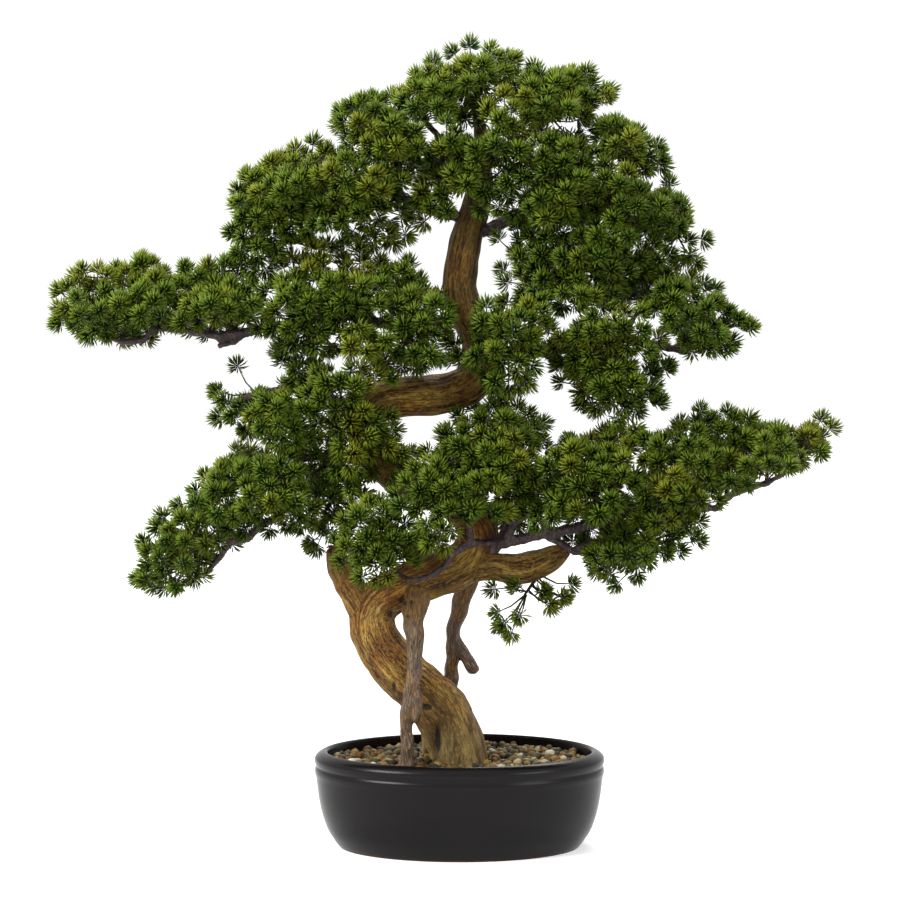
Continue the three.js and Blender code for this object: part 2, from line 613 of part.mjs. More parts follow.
// Whether an edge of one list of triangles passes through a triangle of the other that it has no corner of.
const edgeRay = new THREE.Ray();
const edgeHit = new THREE.Vector3();
function edgesPierce(triangles, others) {
  return triangles.some((triangle) => triangle.some((from, k) => {
    const to = triangle[(k + 1) % 3];
    const length = from.distanceTo(to);
    edgeRay.origin.copy(from);
    edgeRay.direction.copy(to).sub(from).divideScalar(length);
    return others.some(([a, b, c]) => {
      if ([a, b, c].includes(from) || [a, b, c].includes(to)) return false;
      return edgeRay.intersectTriangle(a, b, c, false, edgeHit) !== null && edgeHit.distanceTo(from) < length;
    });
  }));
}

function crossing(triangles, others) {
  return edgesPierce(triangles, others) || edgesPierce(others, triangles);
}

// A tuft of needles on its stem: a three-sided stem widens into an eight-sided bud, which is turned to
// leave the stem untwisted, and a three-sided needle is raised on each of the bud's seven free faces,
// one ahead, three half open and three wide open.
const noTurn = new THREE.Vector2(0, 0);
function planTuft(core, face, tip, draw) {
  const footMiddle = faceMiddle(core, face);
  const forward = tip.clone().sub(footMiddle).normalize();
  const ahead = forward.clone().add(new THREE.Vector3(0, 0, upwardLean)).normalize();
  const helper = Math.abs(ahead.z) > 0.9 ? new THREE.Vector3(1, 0, 0) : new THREE.Vector3(0, 0, 1);
  const side = ahead.clone().cross(helper).normalize();
  const rise = ahead.clone().cross(side);
  const third = (2 * Math.PI) / 3;
  const foot = face.map((id) => core.points[id]);
  const turns = foot.map((corner, k) => {
    const arm = corner.clone().sub(footMiddle);
    return new THREE.Vector2(arm.dot(side), arm.dot(rise)).normalize().rotateAround(noTurn, -k * third);
  });
  const turn = turns.reduce((sum, arm) => sum.add(arm), new THREE.Vector2()).angle();
  const edge = budRadius * Math.SQRT2;
  const ringRadius = edge / Math.sqrt(3);
  const halfHeight = (edge * Math.sqrt(2 / 3)) / 2;
  const around = (angle, radius, height) => tip.clone()
    .addScaledVector(side, radius * Math.cos(turn + angle))
    .addScaledVector(rise, radius * Math.sin(turn + angle))
    .addScaledVector(ahead, height);
  const low = [0, 1, 2].map((k) => around(k * third, ringRadius, -halfHeight));
  const high = [0, 1, 2].map((k) => around((k + 0.5) * third, ringRadius, halfHeight));
  const openings = [{ bud: high, openDegrees: 0 }];
  for (let k = 0; k < 3; k++) {
    const next = (k + 1) % 3;
    openings.push({ bud: [low[next], high[next], high[k]], openDegrees: halfOpen });
    openings.push({ bud: [low[k], low[next], high[k]], openDegrees: wideOpen });
  }
  const needles = openings.map(({ bud, openDegrees }) => {
    const [a, b, c] = bud;
    const root = a.clone().add(b).add(c).divideScalar(3);
    const outward = root.clone().sub(tip);
    outward.addScaledVector(ahead, -outward.dot(ahead));
    if (outward.lengthSq() > 1e-6) outward.normalize();
    const open = THREE.MathUtils.degToRad(openDegrees + needleSplay * (draw() - 0.5));
    const length = needleLength * (0.92 + 0.16 * draw());
    const end = root.clone()
      .addScaledVector(ahead, length * Math.cos(open))
      .addScaledVector(outward, length * Math.sin(open));
    return { bud, sides: [[a, b, end], [b, c, end], [c, a, end]], root, end, kept: false };
  });
  const stem = [0, 1, 2].flatMap((k) => {
    const next = (k + 1) % 3;
    return [[foot[k], foot[next], low[next]], [foot[k], low[next], low[k]]];
  });
  return { face, stem, needles };
}

// Every triangle of a spray: the core's free faces, the stems, and each bud's faces or the needles on them.
function trianglesOf({ core, tufts }) {
  const used = new Set(tufts.map((tuft) => tuft.face));
  const free = core.faces.filter((face) => !used.has(face));
  return [
    ...free.map((face) => face.map((id) => core.points[id])),
    ...tufts.flatMap((tuft) => tuft.stem),
    ...tufts.flatMap((tuft) => tuft.needles.flatMap((needle) => (needle.kept ? needle.sides : [needle.bud]))),
  ];
}

// A needle that would cross a neighbour is left off, so that no two pieces and no two needles cross.
function settleNeedles(plan) {
  const rootShare = 0.12;
  const [roomInside, roomOutside] = [0.1, fit + 0.25];
  for (const tuft of plan.tufts) {
    for (const needle of tuft.needles) {
      const start = needle.root.clone().lerp(needle.end, rootShare);
      const body = stretch(start, needle.end, needleRadius, plan.name);
      const clear = placed.every((other) => {
        if (other.tuft === tuft) return true;
        return roomBetween(body, other) > (other.owner === plan.name ? roomInside : roomOutside);
      });
      if (!clear || crossing(needle.sides, trianglesOf(plan))) continue;
      needle.kept = true;
      body.tuft = tuft;
      placed.push(body);
    }
  }
}

// One more tuft, on the first free face whose stem and bud cross nothing in the spray.
function growTuft(plan, tip, draw) {
  const { name, carrier, core, used } = plan;
  const standing = trianglesOf(plan);
  const tuft = stemFaces(core, used, tip, name, carrier)
    .map(({ face }) => planTuft(core, face, tip, draw))
    .find(({ stem, needles }) => {
      const own = [...stem, ...needles.map(({ bud }) => bud)];
      return !crossing(own, standing) && !edgesPierce(own, own);
    });
  if (!tuft) return;
  used.add(tuft.face);
  const [base, outer] = stemStretches(faceMiddle(core, tuft.face), tip, name);
  const bud = stretch(tip, tip.clone().add(new THREE.Vector3(0, 0, 0.1)), budRadius, name);
  placed.push({ ...base, tuft }, { ...outer, tuft, isStem: true }, { ...bud, tuft, isStem: true });
  plan.tufts.push(tuft);
}

// The stems of a spray rise from the faces of its core to the hand-set tips.
function planSpray(name, [carrier, rootPlace, tipPlaces], draw) {
  const root = new THREE.Vector3(...rootPlace);
  const tips = tipPlaces.map((place) => new THREE.Vector3(...place));
  const middle = tips.reduce((sum, tip) => sum.add(tip), new THREE.Vector3()).divideScalar(tips.length);
  const end = root.clone().lerp(middle, coreShare);
  const axisPath = [[...root, coreRadii[1]], [...end, coreRadii[1]]];
  placed.push(...pathStretches(axisPath, name));
  const plan = { name, carrier, root, core: coreOf(root, end), used: new Set(), tufts: [] };
  for (const tip of tips) growTuft(plan, tip, draw);
  return plan;
}

// Behind the hand-set tufts, shoots that turn by the golden angle fill the widest gaps.
function addShoots(plan, draw) {
  for (let turn = 0; turn < shootTries; turn++) {
    const angle = turn * goldenAngle + draw();
    const depth = THREE.MathUtils.lerp(...shootDepths, draw());
    const rise = THREE.MathUtils.lerp(...shootRises, draw());
    const tip = plan.root.clone().add(new THREE.Vector3(shootFan * Math.cos(angle), depth, rise));
    const stems = placed.filter((other) => other.isStem);
    const nearest = Math.min(...stems.map((other) => other.to.distanceTo(tip)));
    if (nearest > shootSpacing) growTuft(plan, tip, draw);
  }
}

function spraySolid(plan, wood) {
  const geometry = new THREE.BufferGeometry().setFromPoints(trianglesOf(plan).flat());
  return largestOf(solidOf(geometry).subtract(wood));
}

// Crushed gravel over the soil: a six-sided cell for each stone, raised to a point off its middle.
function gravelSheet(draw) {
  const rowStep = (pebbleSpacing * Math.sqrt(3)) / 2;
  const cornerReach = pebbleSpacing / Math.sqrt(3);
  const across = Math.ceil(potHalfLength / pebbleSpacing) + 1;
  const rows = Math.ceil((potHalfLength * potDepthRatio) / rowStep) + 1;
  const points = [];
  const corners = [];
  const shared = new Map();
  const groove = gravelTop - pebbleRise * 0.8;
  const cornerShift = pebbleSpacing * 0.3;
  const topShift = pebbleSpacing * 0.4;
  const cornerId = (x, y) => {
    const key = Math.round((2 * x) / pebbleSpacing) + "," + Math.round((3 * y) / rowStep);
    if (!shared.has(key)) {
      const shift = () => (draw() - 0.5) * cornerShift;
      shared.set(key, points.push(new THREE.Vector3(x + shift(), y + shift(), groove + shift() * 0.2)) - 1);
    }
    return shared.get(key);
  };
  for (let row = -rows; row <= rows; row++) {
    for (let column = -across; column <= across; column++) {
      const middleX = (column + (row % 2 === 0 ? 0 : 0.5)) * pebbleSpacing;
      const middleY = row * rowStep;
      const outer = [0, 1, 2, 3, 4, 5].map((k) => {
        const angle = ((k + 0.5) * Math.PI) / 3;
        return cornerId(middleX + cornerReach * Math.cos(angle), middleY + cornerReach * Math.sin(angle));
      });
      const lean = () => (draw() - 0.5) * topShift;
      const height = groove + pebbleRise * (0.8 + 0.5 * draw());
      const top = points.push(new THREE.Vector3(middleX + lean(), middleY + lean(), height)) - 1;
      for (let k = 0; k < 6; k++) corners.push(outer[k], outer[(k + 1) % 6], top);
    }
  }
  return { points, corners };
}

// The sheet is given walls and a floor, so that it is a closed block before the pot's outline cuts it.
function gravelBlock(draw) {
  const { points, corners } = gravelSheet(draw);
  const count = points.length;
  const blockFloor = soilTop - 20;
  const all = [...points, ...points.map((point) => new THREE.Vector3(point.x, point.y, blockFloor))];
  const edges = new Set();
  for (let i = 0; i < corners.length; i += 3) {
    for (let k = 0; k < 3; k++) edges.add(corners[i + k] + ":" + corners[i + ((k + 1) % 3)]);
  }
  const faces = [...corners];
  for (let i = 0; i < corners.length; i += 3) {
    faces.push(corners[i + 2] + count, corners[i + 1] + count, corners[i] + count);
    for (let k = 0; k < 3; k++) {
      const [a, b] = [corners[i + k], corners[i + ((k + 1) % 3)]];
      if (!edges.has(b + ":" + a)) faces.push(a, a + count, b + count, a, b + count, b);
    }
  }
  const geometry = new THREE.BufferGeometry().setFromPoints(all);
  geometry.setIndex(faces);
  return solidOf(geometry);
}

function fillOutline(bottom, top) {
  const heights = [bottom, ...innerOutline.map(([, z]) => z).filter((z) => z > bottom && z < top), top];
  const outline = heights.map((z) => [innerHalfLength(z) - fit - 0.3, z]);
  return [[0, bottom], ...outline, [0, top]];
}

function soil(wood) {
  return ovalTurned(fillOutline(floorHeight + fit, soilTop)).subtract(wood);
}

function gravel(wood, draw) {
  const bed = ovalTurned(fillOutline(soilTop + fit, rimHeight - 4));
  return largestOf(gravelBlock(draw).intersect(bed).subtract(wood));
}

function finish(color, roughness) {
  return new THREE.MeshStandardMaterial({ color, roughness, metalness: 0 });
}

const bonsai = new THREE.Group();

function add(name, solid, material, thinnest = sliver) {
  const mesh = new THREE.Mesh(geometryOf(solid, thinnest), material);
  mesh.name = name;
  bonsai.add(mesh);
}

const grownTrunk = trunk(fit);
const standingWood = grownTrunk.add(frontProp(fit)).add(rearProp(fit));

add("pot", pot(), finish(ceramicBlack, 0.25));
add("soil", soil(standingWood), finish(soilBrown, 0.95));
add("gravel", gravel(standingWood, drawFrom(11)), finish(gravelTan, 0.8));
add("trunk", trunk(), finish(barkOchre, 0.8), woodSliver);
add("prop_front", largestOf(frontProp().subtract(grownTrunk)), finish(barkGrey, 0.85), woodSliver);
add("prop_rear", largestOf(rearProp().subtract(grownTrunk)), finish(barkGrey, 0.85), woodSliver);

const branchFinish = finish(branchPurple, 0.75);
const grownBranches = {};
for (const [name, paths] of Object.entries(branches)) {
  add(name, largestOf(branchSolid(paths).subtract(standingWood)), branchFinish, woodSliver);
  grownBranches[name] = branchSolid(paths, fit);
}

const needleFinish = finish(needleGreen, 0.6);
const draw = drawFrom(29);
const plans = Object.entries(sprays).map(([name, spray]) => planSpray(name, spray, draw));
for (const plan of plans) addShoots(plan, draw);
plans.forEach(settleNeedles);
for (const plan of plans) {
  const carrier = grownBranches[plan.carrier];
  const wood = carrier ? grownTrunk.add(carrier) : grownTrunk;
  add(plan.name, spraySolid(plan, wood), needleFinish);
}

export default bonsai;
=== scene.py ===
import math

import bpy
import numpy as np
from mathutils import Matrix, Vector


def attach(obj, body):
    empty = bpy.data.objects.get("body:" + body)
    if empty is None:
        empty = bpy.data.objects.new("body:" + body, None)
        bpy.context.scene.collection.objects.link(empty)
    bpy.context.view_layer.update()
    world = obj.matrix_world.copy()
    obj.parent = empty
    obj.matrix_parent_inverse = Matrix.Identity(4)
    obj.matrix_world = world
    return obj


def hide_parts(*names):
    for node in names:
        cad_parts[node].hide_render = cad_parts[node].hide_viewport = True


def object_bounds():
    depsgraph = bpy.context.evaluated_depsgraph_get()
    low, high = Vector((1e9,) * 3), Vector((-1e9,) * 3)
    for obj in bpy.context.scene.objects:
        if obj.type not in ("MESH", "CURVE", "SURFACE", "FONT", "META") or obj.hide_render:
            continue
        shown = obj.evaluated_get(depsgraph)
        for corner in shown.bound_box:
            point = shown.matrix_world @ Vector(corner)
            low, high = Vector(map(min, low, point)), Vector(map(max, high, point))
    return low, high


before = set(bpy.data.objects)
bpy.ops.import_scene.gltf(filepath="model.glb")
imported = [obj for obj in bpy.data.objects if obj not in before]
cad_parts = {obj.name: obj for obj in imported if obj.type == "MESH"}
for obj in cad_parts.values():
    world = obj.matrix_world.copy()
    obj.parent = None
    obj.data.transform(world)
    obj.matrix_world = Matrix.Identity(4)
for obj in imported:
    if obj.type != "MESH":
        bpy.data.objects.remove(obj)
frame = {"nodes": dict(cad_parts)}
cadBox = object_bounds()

mm = 0.001  # lengths below are in millimetres, and a mesh is written in metres
goldenAngle = math.radians(137.5)
scene = bpy.context.scene


# Small tools

def unit(vectors):  # each vector over its own length
    return vectors / np.maximum(np.linalg.norm(vectors, axis=-1, keepdims=True), 1e-9)


# smooth noise between about -1 and 1: a sum of sine waves that run in random directions
def waves(points, wavelength, seed, count=14):
    rng = np.random.default_rng(seed)
    directions = unit(rng.normal(size=(count, 3))) * (2 * math.pi / wavelength)
    directions *= rng.uniform(0.6, 1.5, (count, 1))
    phases = rng.uniform(0, 2 * math.pi, count)
    return np.sin(points @ directions.T + phases).sum(-1) * math.sqrt(2 / count) / 1.5


# a mesh piece from points in millimetres and triangles, smooth shaded
def meshPiece(name, points, triangles):
    mesh = bpy.data.meshes.new(name)
    mesh.vertices.add(len(points))
    mesh.vertices.foreach_set("co", (points * mm).astype(np.float32).ravel())
    mesh.loops.add(triangles.size)
    mesh.loops.foreach_set("vertex_index", triangles.astype(np.int32).ravel())
    mesh.polygons.add(len(triangles))
    mesh.polygons.foreach_set("loop_start", np.arange(0, triangles.size, 3, dtype=np.int32))
    mesh.update(calc_edges=True)
    mesh.polygons.foreach_set("use_smooth", np.ones(len(triangles), bool))
    piece = bpy.data.objects.new(name, mesh)
    scene.collection.objects.link(piece)
    return piece


def pointsOf(piece):  # the piece's vertices in millimetres
    flat = np.empty(len(piece.data.vertices) * 3, np.float32)
    piece.data.vertices.foreach_get("co", flat)
    return flat.reshape(-1, 3).astype(float) / mm


def movePoints(piece, points):  # the piece's vertices go to new places, in millimetres
    piece.data.vertices.foreach_set("co", (points * mm).astype(np.float32).ravel())
    piece.data.update()


def normalsOf(piece):  # the piece's normals at its vertices
    flat = np.empty(len(piece.data.vertices) * 3, np.float32)
    piece.data.vertex_normals.foreach_get("vector", flat)
    return flat.reshape(-1, 3).astype(float)


def paint(piece, name, values):  # a value or a vector for each point, for the materials to read
    kind, field = ("FLOAT", "value") if values.ndim == 1 else ("FLOAT_VECTOR", "vector")
    layer = piece.data.attributes.new(name, kind, "POINT")
    layer.data.foreach_set(field, values.astype(np.float32).ravel())


def settle(piece):  # the piece's modifiers are applied into its mesh
    graph = bpy.context.evaluated_depsgraph_get()
    mesh = bpy.data.meshes.new_from_object(piece.evaluated_get(graph))
    piece.modifiers.clear()
    piece.data = mesh
    mesh.polygons.foreach_set("use_smooth", np.ones(len(mesh.polygons), bool))


# one skin over overlapping closed shapes: voxels of one size, then each point drawn to its neighbours
def joinedSkin(piece, voxel, smoothing):
    remesh = piece.modifiers.new("skin", "REMESH")
    remesh.mode = "VOXEL"
    remesh.voxel_size = voxel * mm
    smooth = piece.modifiers.new("smooth", "SMOOTH")
    smooth.iterations = smoothing
    smooth.factor = 0.5
    settle(piece)


# triangles between rings of points that close round on themselves
def ringTriangles(rings, sides):
    i, j = np.meshgrid(np.arange(rings - 1), np.arange(sides), indexing="ij")
    a = (i * sides + j).ravel()
    b = (i * sides + (j + 1) % sides).ravel()
    return np.concatenate([np.stack([a, b, b + sides], 1), np.stack([a, b + sides, a + sides], 1)])


# the same and a fan at each end, round two points that are listed after the rings
def closedTriangles(rings, sides):
    j = np.arange(sides)
    after = (j + 1) % sides
    last = (rings - 1) * sides
    start = np.full(sides, rings * sides)
    return np.vstack([ringTriangles(rings, sides), np.stack([start, after, j], 1),
                      np.stack([start + 1, last + j, last + after], 1)])


# the node's triangles with their shared corners made one, points rounded to some digits of a millimetre
def mergedTriangles(node, digits):
    corners = np.empty(len(node.data.loops), np.int32)
    node.data.loops.foreach_get("vertex_index", corners)
    points, index = np.unique(np.round(pointsOf(node), digits), axis=0, return_inverse=True)
    return points, index.reshape(-1)[corners].reshape(-1, 3)


# a smooth curve through given points: each span is the Catmull-Rom cubic of its four nearest points
def smoothPath(points, perSpan):
    p = np.asarray(points, float)
    p = np.vstack([2 * p[0] - p[1], p, 2 * p[-1] - p[-2]])
    t = np.linspace(0, 1, perSpan, endpoint=False)[None, :, None]
    a, b, c, d = (p[i:len(p) - 3 + i][:, None] for i in range(4))
    curve = 0.5 * (2 * b + (c - a) * t + (2 * a - 5 * b + 4 * c - d) * t**2 + (3 * b - a - 3 * c + d) * t**3)
    return np.vstack([curve.reshape(-1, p.shape[1]), p[-2]])


# across a path: its tangent, two directions square to it (the first nearest to -Y) and the length so far
def pathFrames(path):
    centre = path[:, :3]
    tangent = unit(np.gradient(centre, axis=0))
    toFront = np.array([0.0, -1.0, 0.0])
    first = unit(toFront - tangent * (tangent @ toFront)[:, None])
    second = np.cross(tangent, first)
    steps = np.linalg.norm(np.diff(centre, axis=0), axis=1)
    return tangent, first, second, np.concatenate([[0], np.cumsum(steps)])


# a closed tube: rings of the path's radius square to it, and a point past each end
def tubeSurface(path, sides):
    tangent, first, second, _ = pathFrames(path)
    angle = np.linspace(0, 2 * math.pi, sides, endpoint=False)
    spokes = np.cos(angle)[None, :, None] * first[:, None] + np.sin(angle)[None, :, None] * second[:, None]
    rings = path[:, None, :3] + path[:, None, 3:] * spokes
    start = path[0, :3] - 0.3 * path[0, 3] * tangent[0]
    end = path[-1, :3] + 0.5 * path[-1, 3] * tangent[-1]
    return np.vstack([rings.reshape(-1, 3), start, end]), closedTriangles(len(path), sides)


def stacked(surfaces):  # several surfaces as one list of points and triangles
    points, triangles, count = [], [], 0
    for surfacePoints, surfaceTriangles in surfaces:
        points.append(surfacePoints)
        triangles.append(surfaceTriangles + count)
        count += len(surfacePoints)
    return np.vstack(points), np.vstack(triangles)


# where points lie on wood, by the path whose skin is nearest: the length along it, the angle round it, its
# radius there and the distance from that skin
def placeOnWood(points, paths):
    pathGap = 500  # added for each path, so that no two share their grain
    batch = 4000
    samples = np.vstack(paths)
    frames = [pathFrames(path) for path in paths]
    first = np.vstack([frame[1] for frame in frames])
    second = np.vstack([frame[2] for frame in frames])
    along = np.concatenate([frame[3] + pathGap * i for i, frame in enumerate(frames)])
    nearest = np.empty(len(points), int)
    depth = np.empty(len(points))
    for start in range(0, len(points), batch):
        part = points[start:start + batch]
        apart = np.linalg.norm(part[:, None] - samples[None, :, :3], axis=-1) - samples[None, :, 3]
        nearest[start:start + batch] = apart.argmin(1)
        depth[start:start + batch] = apart.min(1)
    arm = points - samples[nearest, :3]
    angle = np.arctan2((arm * second[nearest]).sum(-1), (arm * first[nearest]).sum(-1))
    return along[nearest], angle, samples[nearest, 3], depth


# Materials

def linearColor(hexColor):  # sRGB hex to linear light
    channels = [int(hexColor[i:i + 2], 16) / 255 for i in (1, 3, 5)]
    return [c / 12.92 if c <= 0.04045 else ((c + 0.055) / 1.055) ** 2.4 for c in channels] + [1.0]


# adds a shader node of a kind: its settings, its inputs as values or as sockets to link, and a ramp's stops
def addNode(tree, kind, inputs=None, stops=None, **settings):
    node = tree.nodes.new("ShaderNode" + kind)
    for name, value in settings.items():
        setattr(node, name, value)
    if stops:
        ramp = node.color_ramp
        while len(ramp.elements) < len(stops):
            ramp.elements.new(0.5)
        for element, (place, color) in zip(ramp.elements, stops):
            element.position = place
            element.color = linearColor(color)
    for name, value in (inputs or {}).items():
        if isinstance(value, bpy.types.NodeSocket):
            tree.links.new(value, node.inputs[name])
        else:
            node.inputs[name].default_value = value
    return node


# a material with one shader, whose inputs are what the surface returns for the material's node tree
def newMaterial(name, surface):
    material = bpy.data.materials.new(name)
    material.use_nodes = True
    tree = material.node_tree
    tree.nodes.clear()
    shader = addNode(tree, "BsdfPrincipled", surface(tree))
    addNode(tree, "OutputMaterial", {0: shader.outputs[0]})
    return material


def dress(piece, material):  # the piece's one material, in place of any it had
    piece.data.materials.clear()
    piece.data.materials.append(material)


# Fired stoneware under a black satin glaze: a deep even black, soft broad highlights with a faint ripple
# where the glaze pooled, and a thin line of bare orange-brown clay at the very foot.
def blackGlaze(tree):
    coords = addNode(tree, "TexCoord").outputs["Object"]
    height = addNode(tree, "SeparateXYZ", {0: coords}).outputs["Z"]
    edge = addNode(tree, "TexNoise", {"Vector": coords, "Scale": 180.0, "Detail": 2.0})
    edgeShift = addNode(tree, "Math", {
        0: edge.outputs["Fac"], 1: 0.0016, 2: height}, operation="MULTIPLY_ADD").outputs[0]
    bare = addNode(tree, "MapRange", {0: edgeShift, 1: 0.0014, 2: 0.002, 3: 1.0, 4: 0.0}).outputs[0]
    pooled = addNode(tree, "TexNoise", {"Vector": coords, "Scale": 22.0, "Detail": 3.0})
    glaze = addNode(tree, "ValToRGB", {
        0: pooled.outputs["Fac"]}, stops=[(0.3, "#0b0707"), (0.75, "#130d0e")]).outputs["Color"]
    color = addNode(tree, "Mix", {
        0: bare, 6: glaze, 7: linearColor("#77503a")}, data_type="RGBA").outputs[2]
    gloss = addNode(tree, "MapRange", {0: pooled.outputs["Fac"], 3: 0.2, 4: 0.3}).outputs[0]
    dull = addNode(tree, "Mix", {0: bare, 2: gloss, 3: 0.8}).outputs[0]
    fine = addNode(tree, "TexNoise", {"Vector": coords, "Scale": 260.0, "Detail": 2.0})
    ripple = addNode(tree, "Bump", {
        "Strength": 0.06, "Distance": 0.0006, "Height": fine.outputs["Fac"]}).outputs[0]
    return {"Base Color": color, "Roughness": dull, "Normal": ripple, "IOR": 1.5, "Specular IOR Level": 0.2}


# Water-worn pea gravel, each stone in one colour from cream and tan to ochre, olive and dark grey, with
# fine grain across it and a slight polish.
def peaGravel(tree):
    coords = addNode(tree, "TexCoord").outputs["Object"]
    stone = addNode(tree, "Attribute", attribute_name="stone")
    split = addNode(tree, "SeparateXYZ", {0: stone.outputs["Vector"]})
    kind = addNode(tree, "ValToRGB", {0: split.outputs["X"]}, stops=[
        (0.0, "#100d09"), (0.18, "#2c2616"), (0.32, "#4f4826"), (0.45, "#6d582b"), (0.58, "#90702f"),
        (0.68, "#6f4c1c"), (0.77, "#3a2713"), (0.87, "#8f7c46"), (1.0, "#e6e0c8")]).outputs["Color"]
    speck = addNode(tree, "TexNoise", {"Vector": coords, "Scale": 900.0, "Detail": 3.0})
    dark = addNode(tree, "MapRange", {0: speck.outputs["Fac"], 1: 0.35, 2: 0.7, 3: 0.72, 4: 1.15})
    color = addNode(tree, "Mix", {
        0: 1.0, 6: kind, 7: dark.outputs[0]}, data_type="RGBA", blend_type="MULTIPLY").outputs[2]
    rough = addNode(tree, "MapRange", {0: split.outputs["Y"], 3: 0.35, 4: 0.65}).outputs[0]
    bump = addNode(tree, "Bump", {
        "Strength": 0.25, "Distance": 0.0003, "Height": speck.outputs["Fac"]}).outputs[0]
    return {"Base Color": color, "Roughness": rough, "Normal": bump, "Specular IOR Level": 0.22}


# Baked clay granules, damp and dark, which only show between the stones.
def bakedClay(tree):
    coords = addNode(tree, "TexCoord").outputs["Object"]
    grain = addNode(tree, "TexVoronoi", {"Vector": coords, "Scale": 350.0})
    color = addNode(tree, "ValToRGB", {
        0: grain.outputs["Distance"]}, stops=[(0.0, "#4a3422"), (0.8, "#1e140c")]).outputs["Color"]
    bump = addNode(tree, "Bump", {
        "Strength": 0.6, "Distance": 0.001, "Height": grain.outputs["Distance"]}).outputs[0]
    return {"Base Color": color, "Roughness": 0.9, "Normal": bump}


def withHollowShade(tree, color):  # the color, nearly black as painted shade in the hollows, creases and knot holes of the wood
    hollowShade = addNode(tree, "Attribute", attribute_name="hollowShade").outputs["Fac"]
    dark = addNode(tree, "MapRange", {0: hollowShade, 1: 0.42, 2: 0.66, 4: 0.92}).outputs[0]
    return addNode(tree, "Mix", {0: dark, 6: color, 7: linearColor("#150b05")}, data_type="RGBA").outputs[2]


# Old weathered pine wood: long grain in ochre and brown that follows the trunk, dark in its grooves and
# golden on its ridges, partly its own colour and partly painted shade in the grooves and painted light on the
# ridges, with short golden and rusty flecks, olive with damp near the soil, duller high up, random patches of
# painted shade and light, and painted shade in hollows.
def weatheredTrunk(tree):
    coords = addNode(tree, "TexCoord").outputs["Object"]
    height = addNode(tree, "SeparateXYZ", {0: coords}).outputs["Z"]
    grain = addNode(tree, "Attribute", attribute_name="grain").outputs["Vector"]
    groove = addNode(tree, "Attribute", attribute_name="groove").outputs["Fac"]
    wide = addNode(tree, "Mapping", {"Vector": grain, "Scale": (0.34, 0.34, 0.04)}).outputs[0]
    streak = addNode(tree, "TexNoise", {
        "Vector": wide, "Scale": 1.0, "Detail": 5.0, "Roughness": 0.7, "Distortion": 0.7}).outputs["Fac"]
    narrow = addNode(tree, "Mapping", {"Vector": grain, "Scale": (1.4, 1.4, 0.26)}).outputs[0]
    fine = addNode(tree, "TexNoise", {
        "Vector": narrow, "Scale": 1.0, "Detail": 5.0, "Roughness": 0.8, "Distortion": 0.3}).outputs["Fac"]
    zones = addNode(tree, "TexNoise", {"Vector": coords, "Scale": 34.0, "Detail": 3.0}).outputs["Fac"]
    both = addNode(tree, "Math", {0: fine, 1: 1.15, 2: streak}, operation="MULTIPLY_ADD").outputs[0]
    # grooves darker and ridges lighter: partly the wood's own grain colour, partly painted shade and painted
    # light
    lit = addNode(tree, "Math", {0: groove, 1: 0.4, 2: both}, operation="MULTIPLY_ADD").outputs[0]
    place = addNode(tree, "MapRange", {0: lit, 1: 1.03, 2: 1.47}).outputs[0]
    wood = addNode(tree, "ValToRGB", {0: place}, stops=[
        (0.08, "#1b1007"), (0.28, "#553817"), (0.46, "#90682b"), (0.64, "#c0923f"), (0.88, "#f6d274")])
    red = addNode(tree, "MapRange", {0: zones, 1: 0.46, 2: 0.62, 3: 0.0, 4: 0.65}).outputs[0]
    warm = addNode(tree, "Mix", {
        0: red, 6: wood.outputs["Color"], 7: linearColor("#96601c")}, data_type="RGBA",
        blend_type="OVERLAY").outputs[2]
    short = addNode(tree, "Mapping", {"Vector": grain, "Scale": (0.75, 0.75, 0.24)}).outputs[0]
    flecks = addNode(tree, "TexNoise", {
        "Vector": short, "Scale": 1.0, "Detail": 3.0, "Roughness": 0.6}).outputs["Fac"]
    bright = addNode(tree, "MapRange", {0: flecks, 1: 0.55, 2: 0.61, 4: 0.85}).outputs[0]
    rusty = addNode(tree, "MapRange", {0: flecks, 1: 0.44, 2: 0.38, 4: 0.7}).outputs[0]
    rust = addNode(tree, "Mix", {0: rusty, 6: warm, 7: linearColor("#6e3512")}, data_type="RGBA")
    golden = addNode(tree, "Mix", {
        0: bright, 6: rust.outputs[2], 7: linearColor("#dca52c")}, data_type="RGBA")
    damp = addNode(tree, "MapRange", {0: height, 1: 0.09, 2: 0.14, 3: 0.6, 4: 0.0}).outputs[0]
    olive = addNode(tree, "Mix", {
        0: damp, 6: golden.outputs[2], 7: linearColor("#7d7046")}, data_type="RGBA").outputs[2]
    high = addNode(tree, "MapRange", {0: height, 1: 0.36, 2: 0.43, 3: 0.0, 4: 0.4}).outputs[0]
    aged = addNode(tree, "Mix", {0: high, 6: olive, 7: linearColor("#544c2c")}, data_type="RGBA").outputs[2]
    # random patches of painted shade and light: the colour is multiplied by 0.66 to 1.18
    patches = addNode(tree, "TexNoise", {"Vector": coords, "Scale": 60.0, "Detail": 2.0})
    shade = addNode(tree, "MapRange", {0: patches.outputs["Fac"], 1: 0.36, 2: 0.64, 3: 0.66, 4: 1.18})
    patched = addNode(tree, "Mix", {
        0: 1.0, 6: aged, 7: shade.outputs[0]}, data_type="RGBA", blend_type="MULTIPLY").outputs[2]
    # painted shade, nearly black, in the hollows
    color = withHollowShade(tree, patched)
    bump = addNode(tree, "Bump", {"Strength": 1.0, "Distance": 0.002, "Height": both}).outputs[0]
    return {"Base Color": color, "Roughness": 0.62, "Normal": bump}
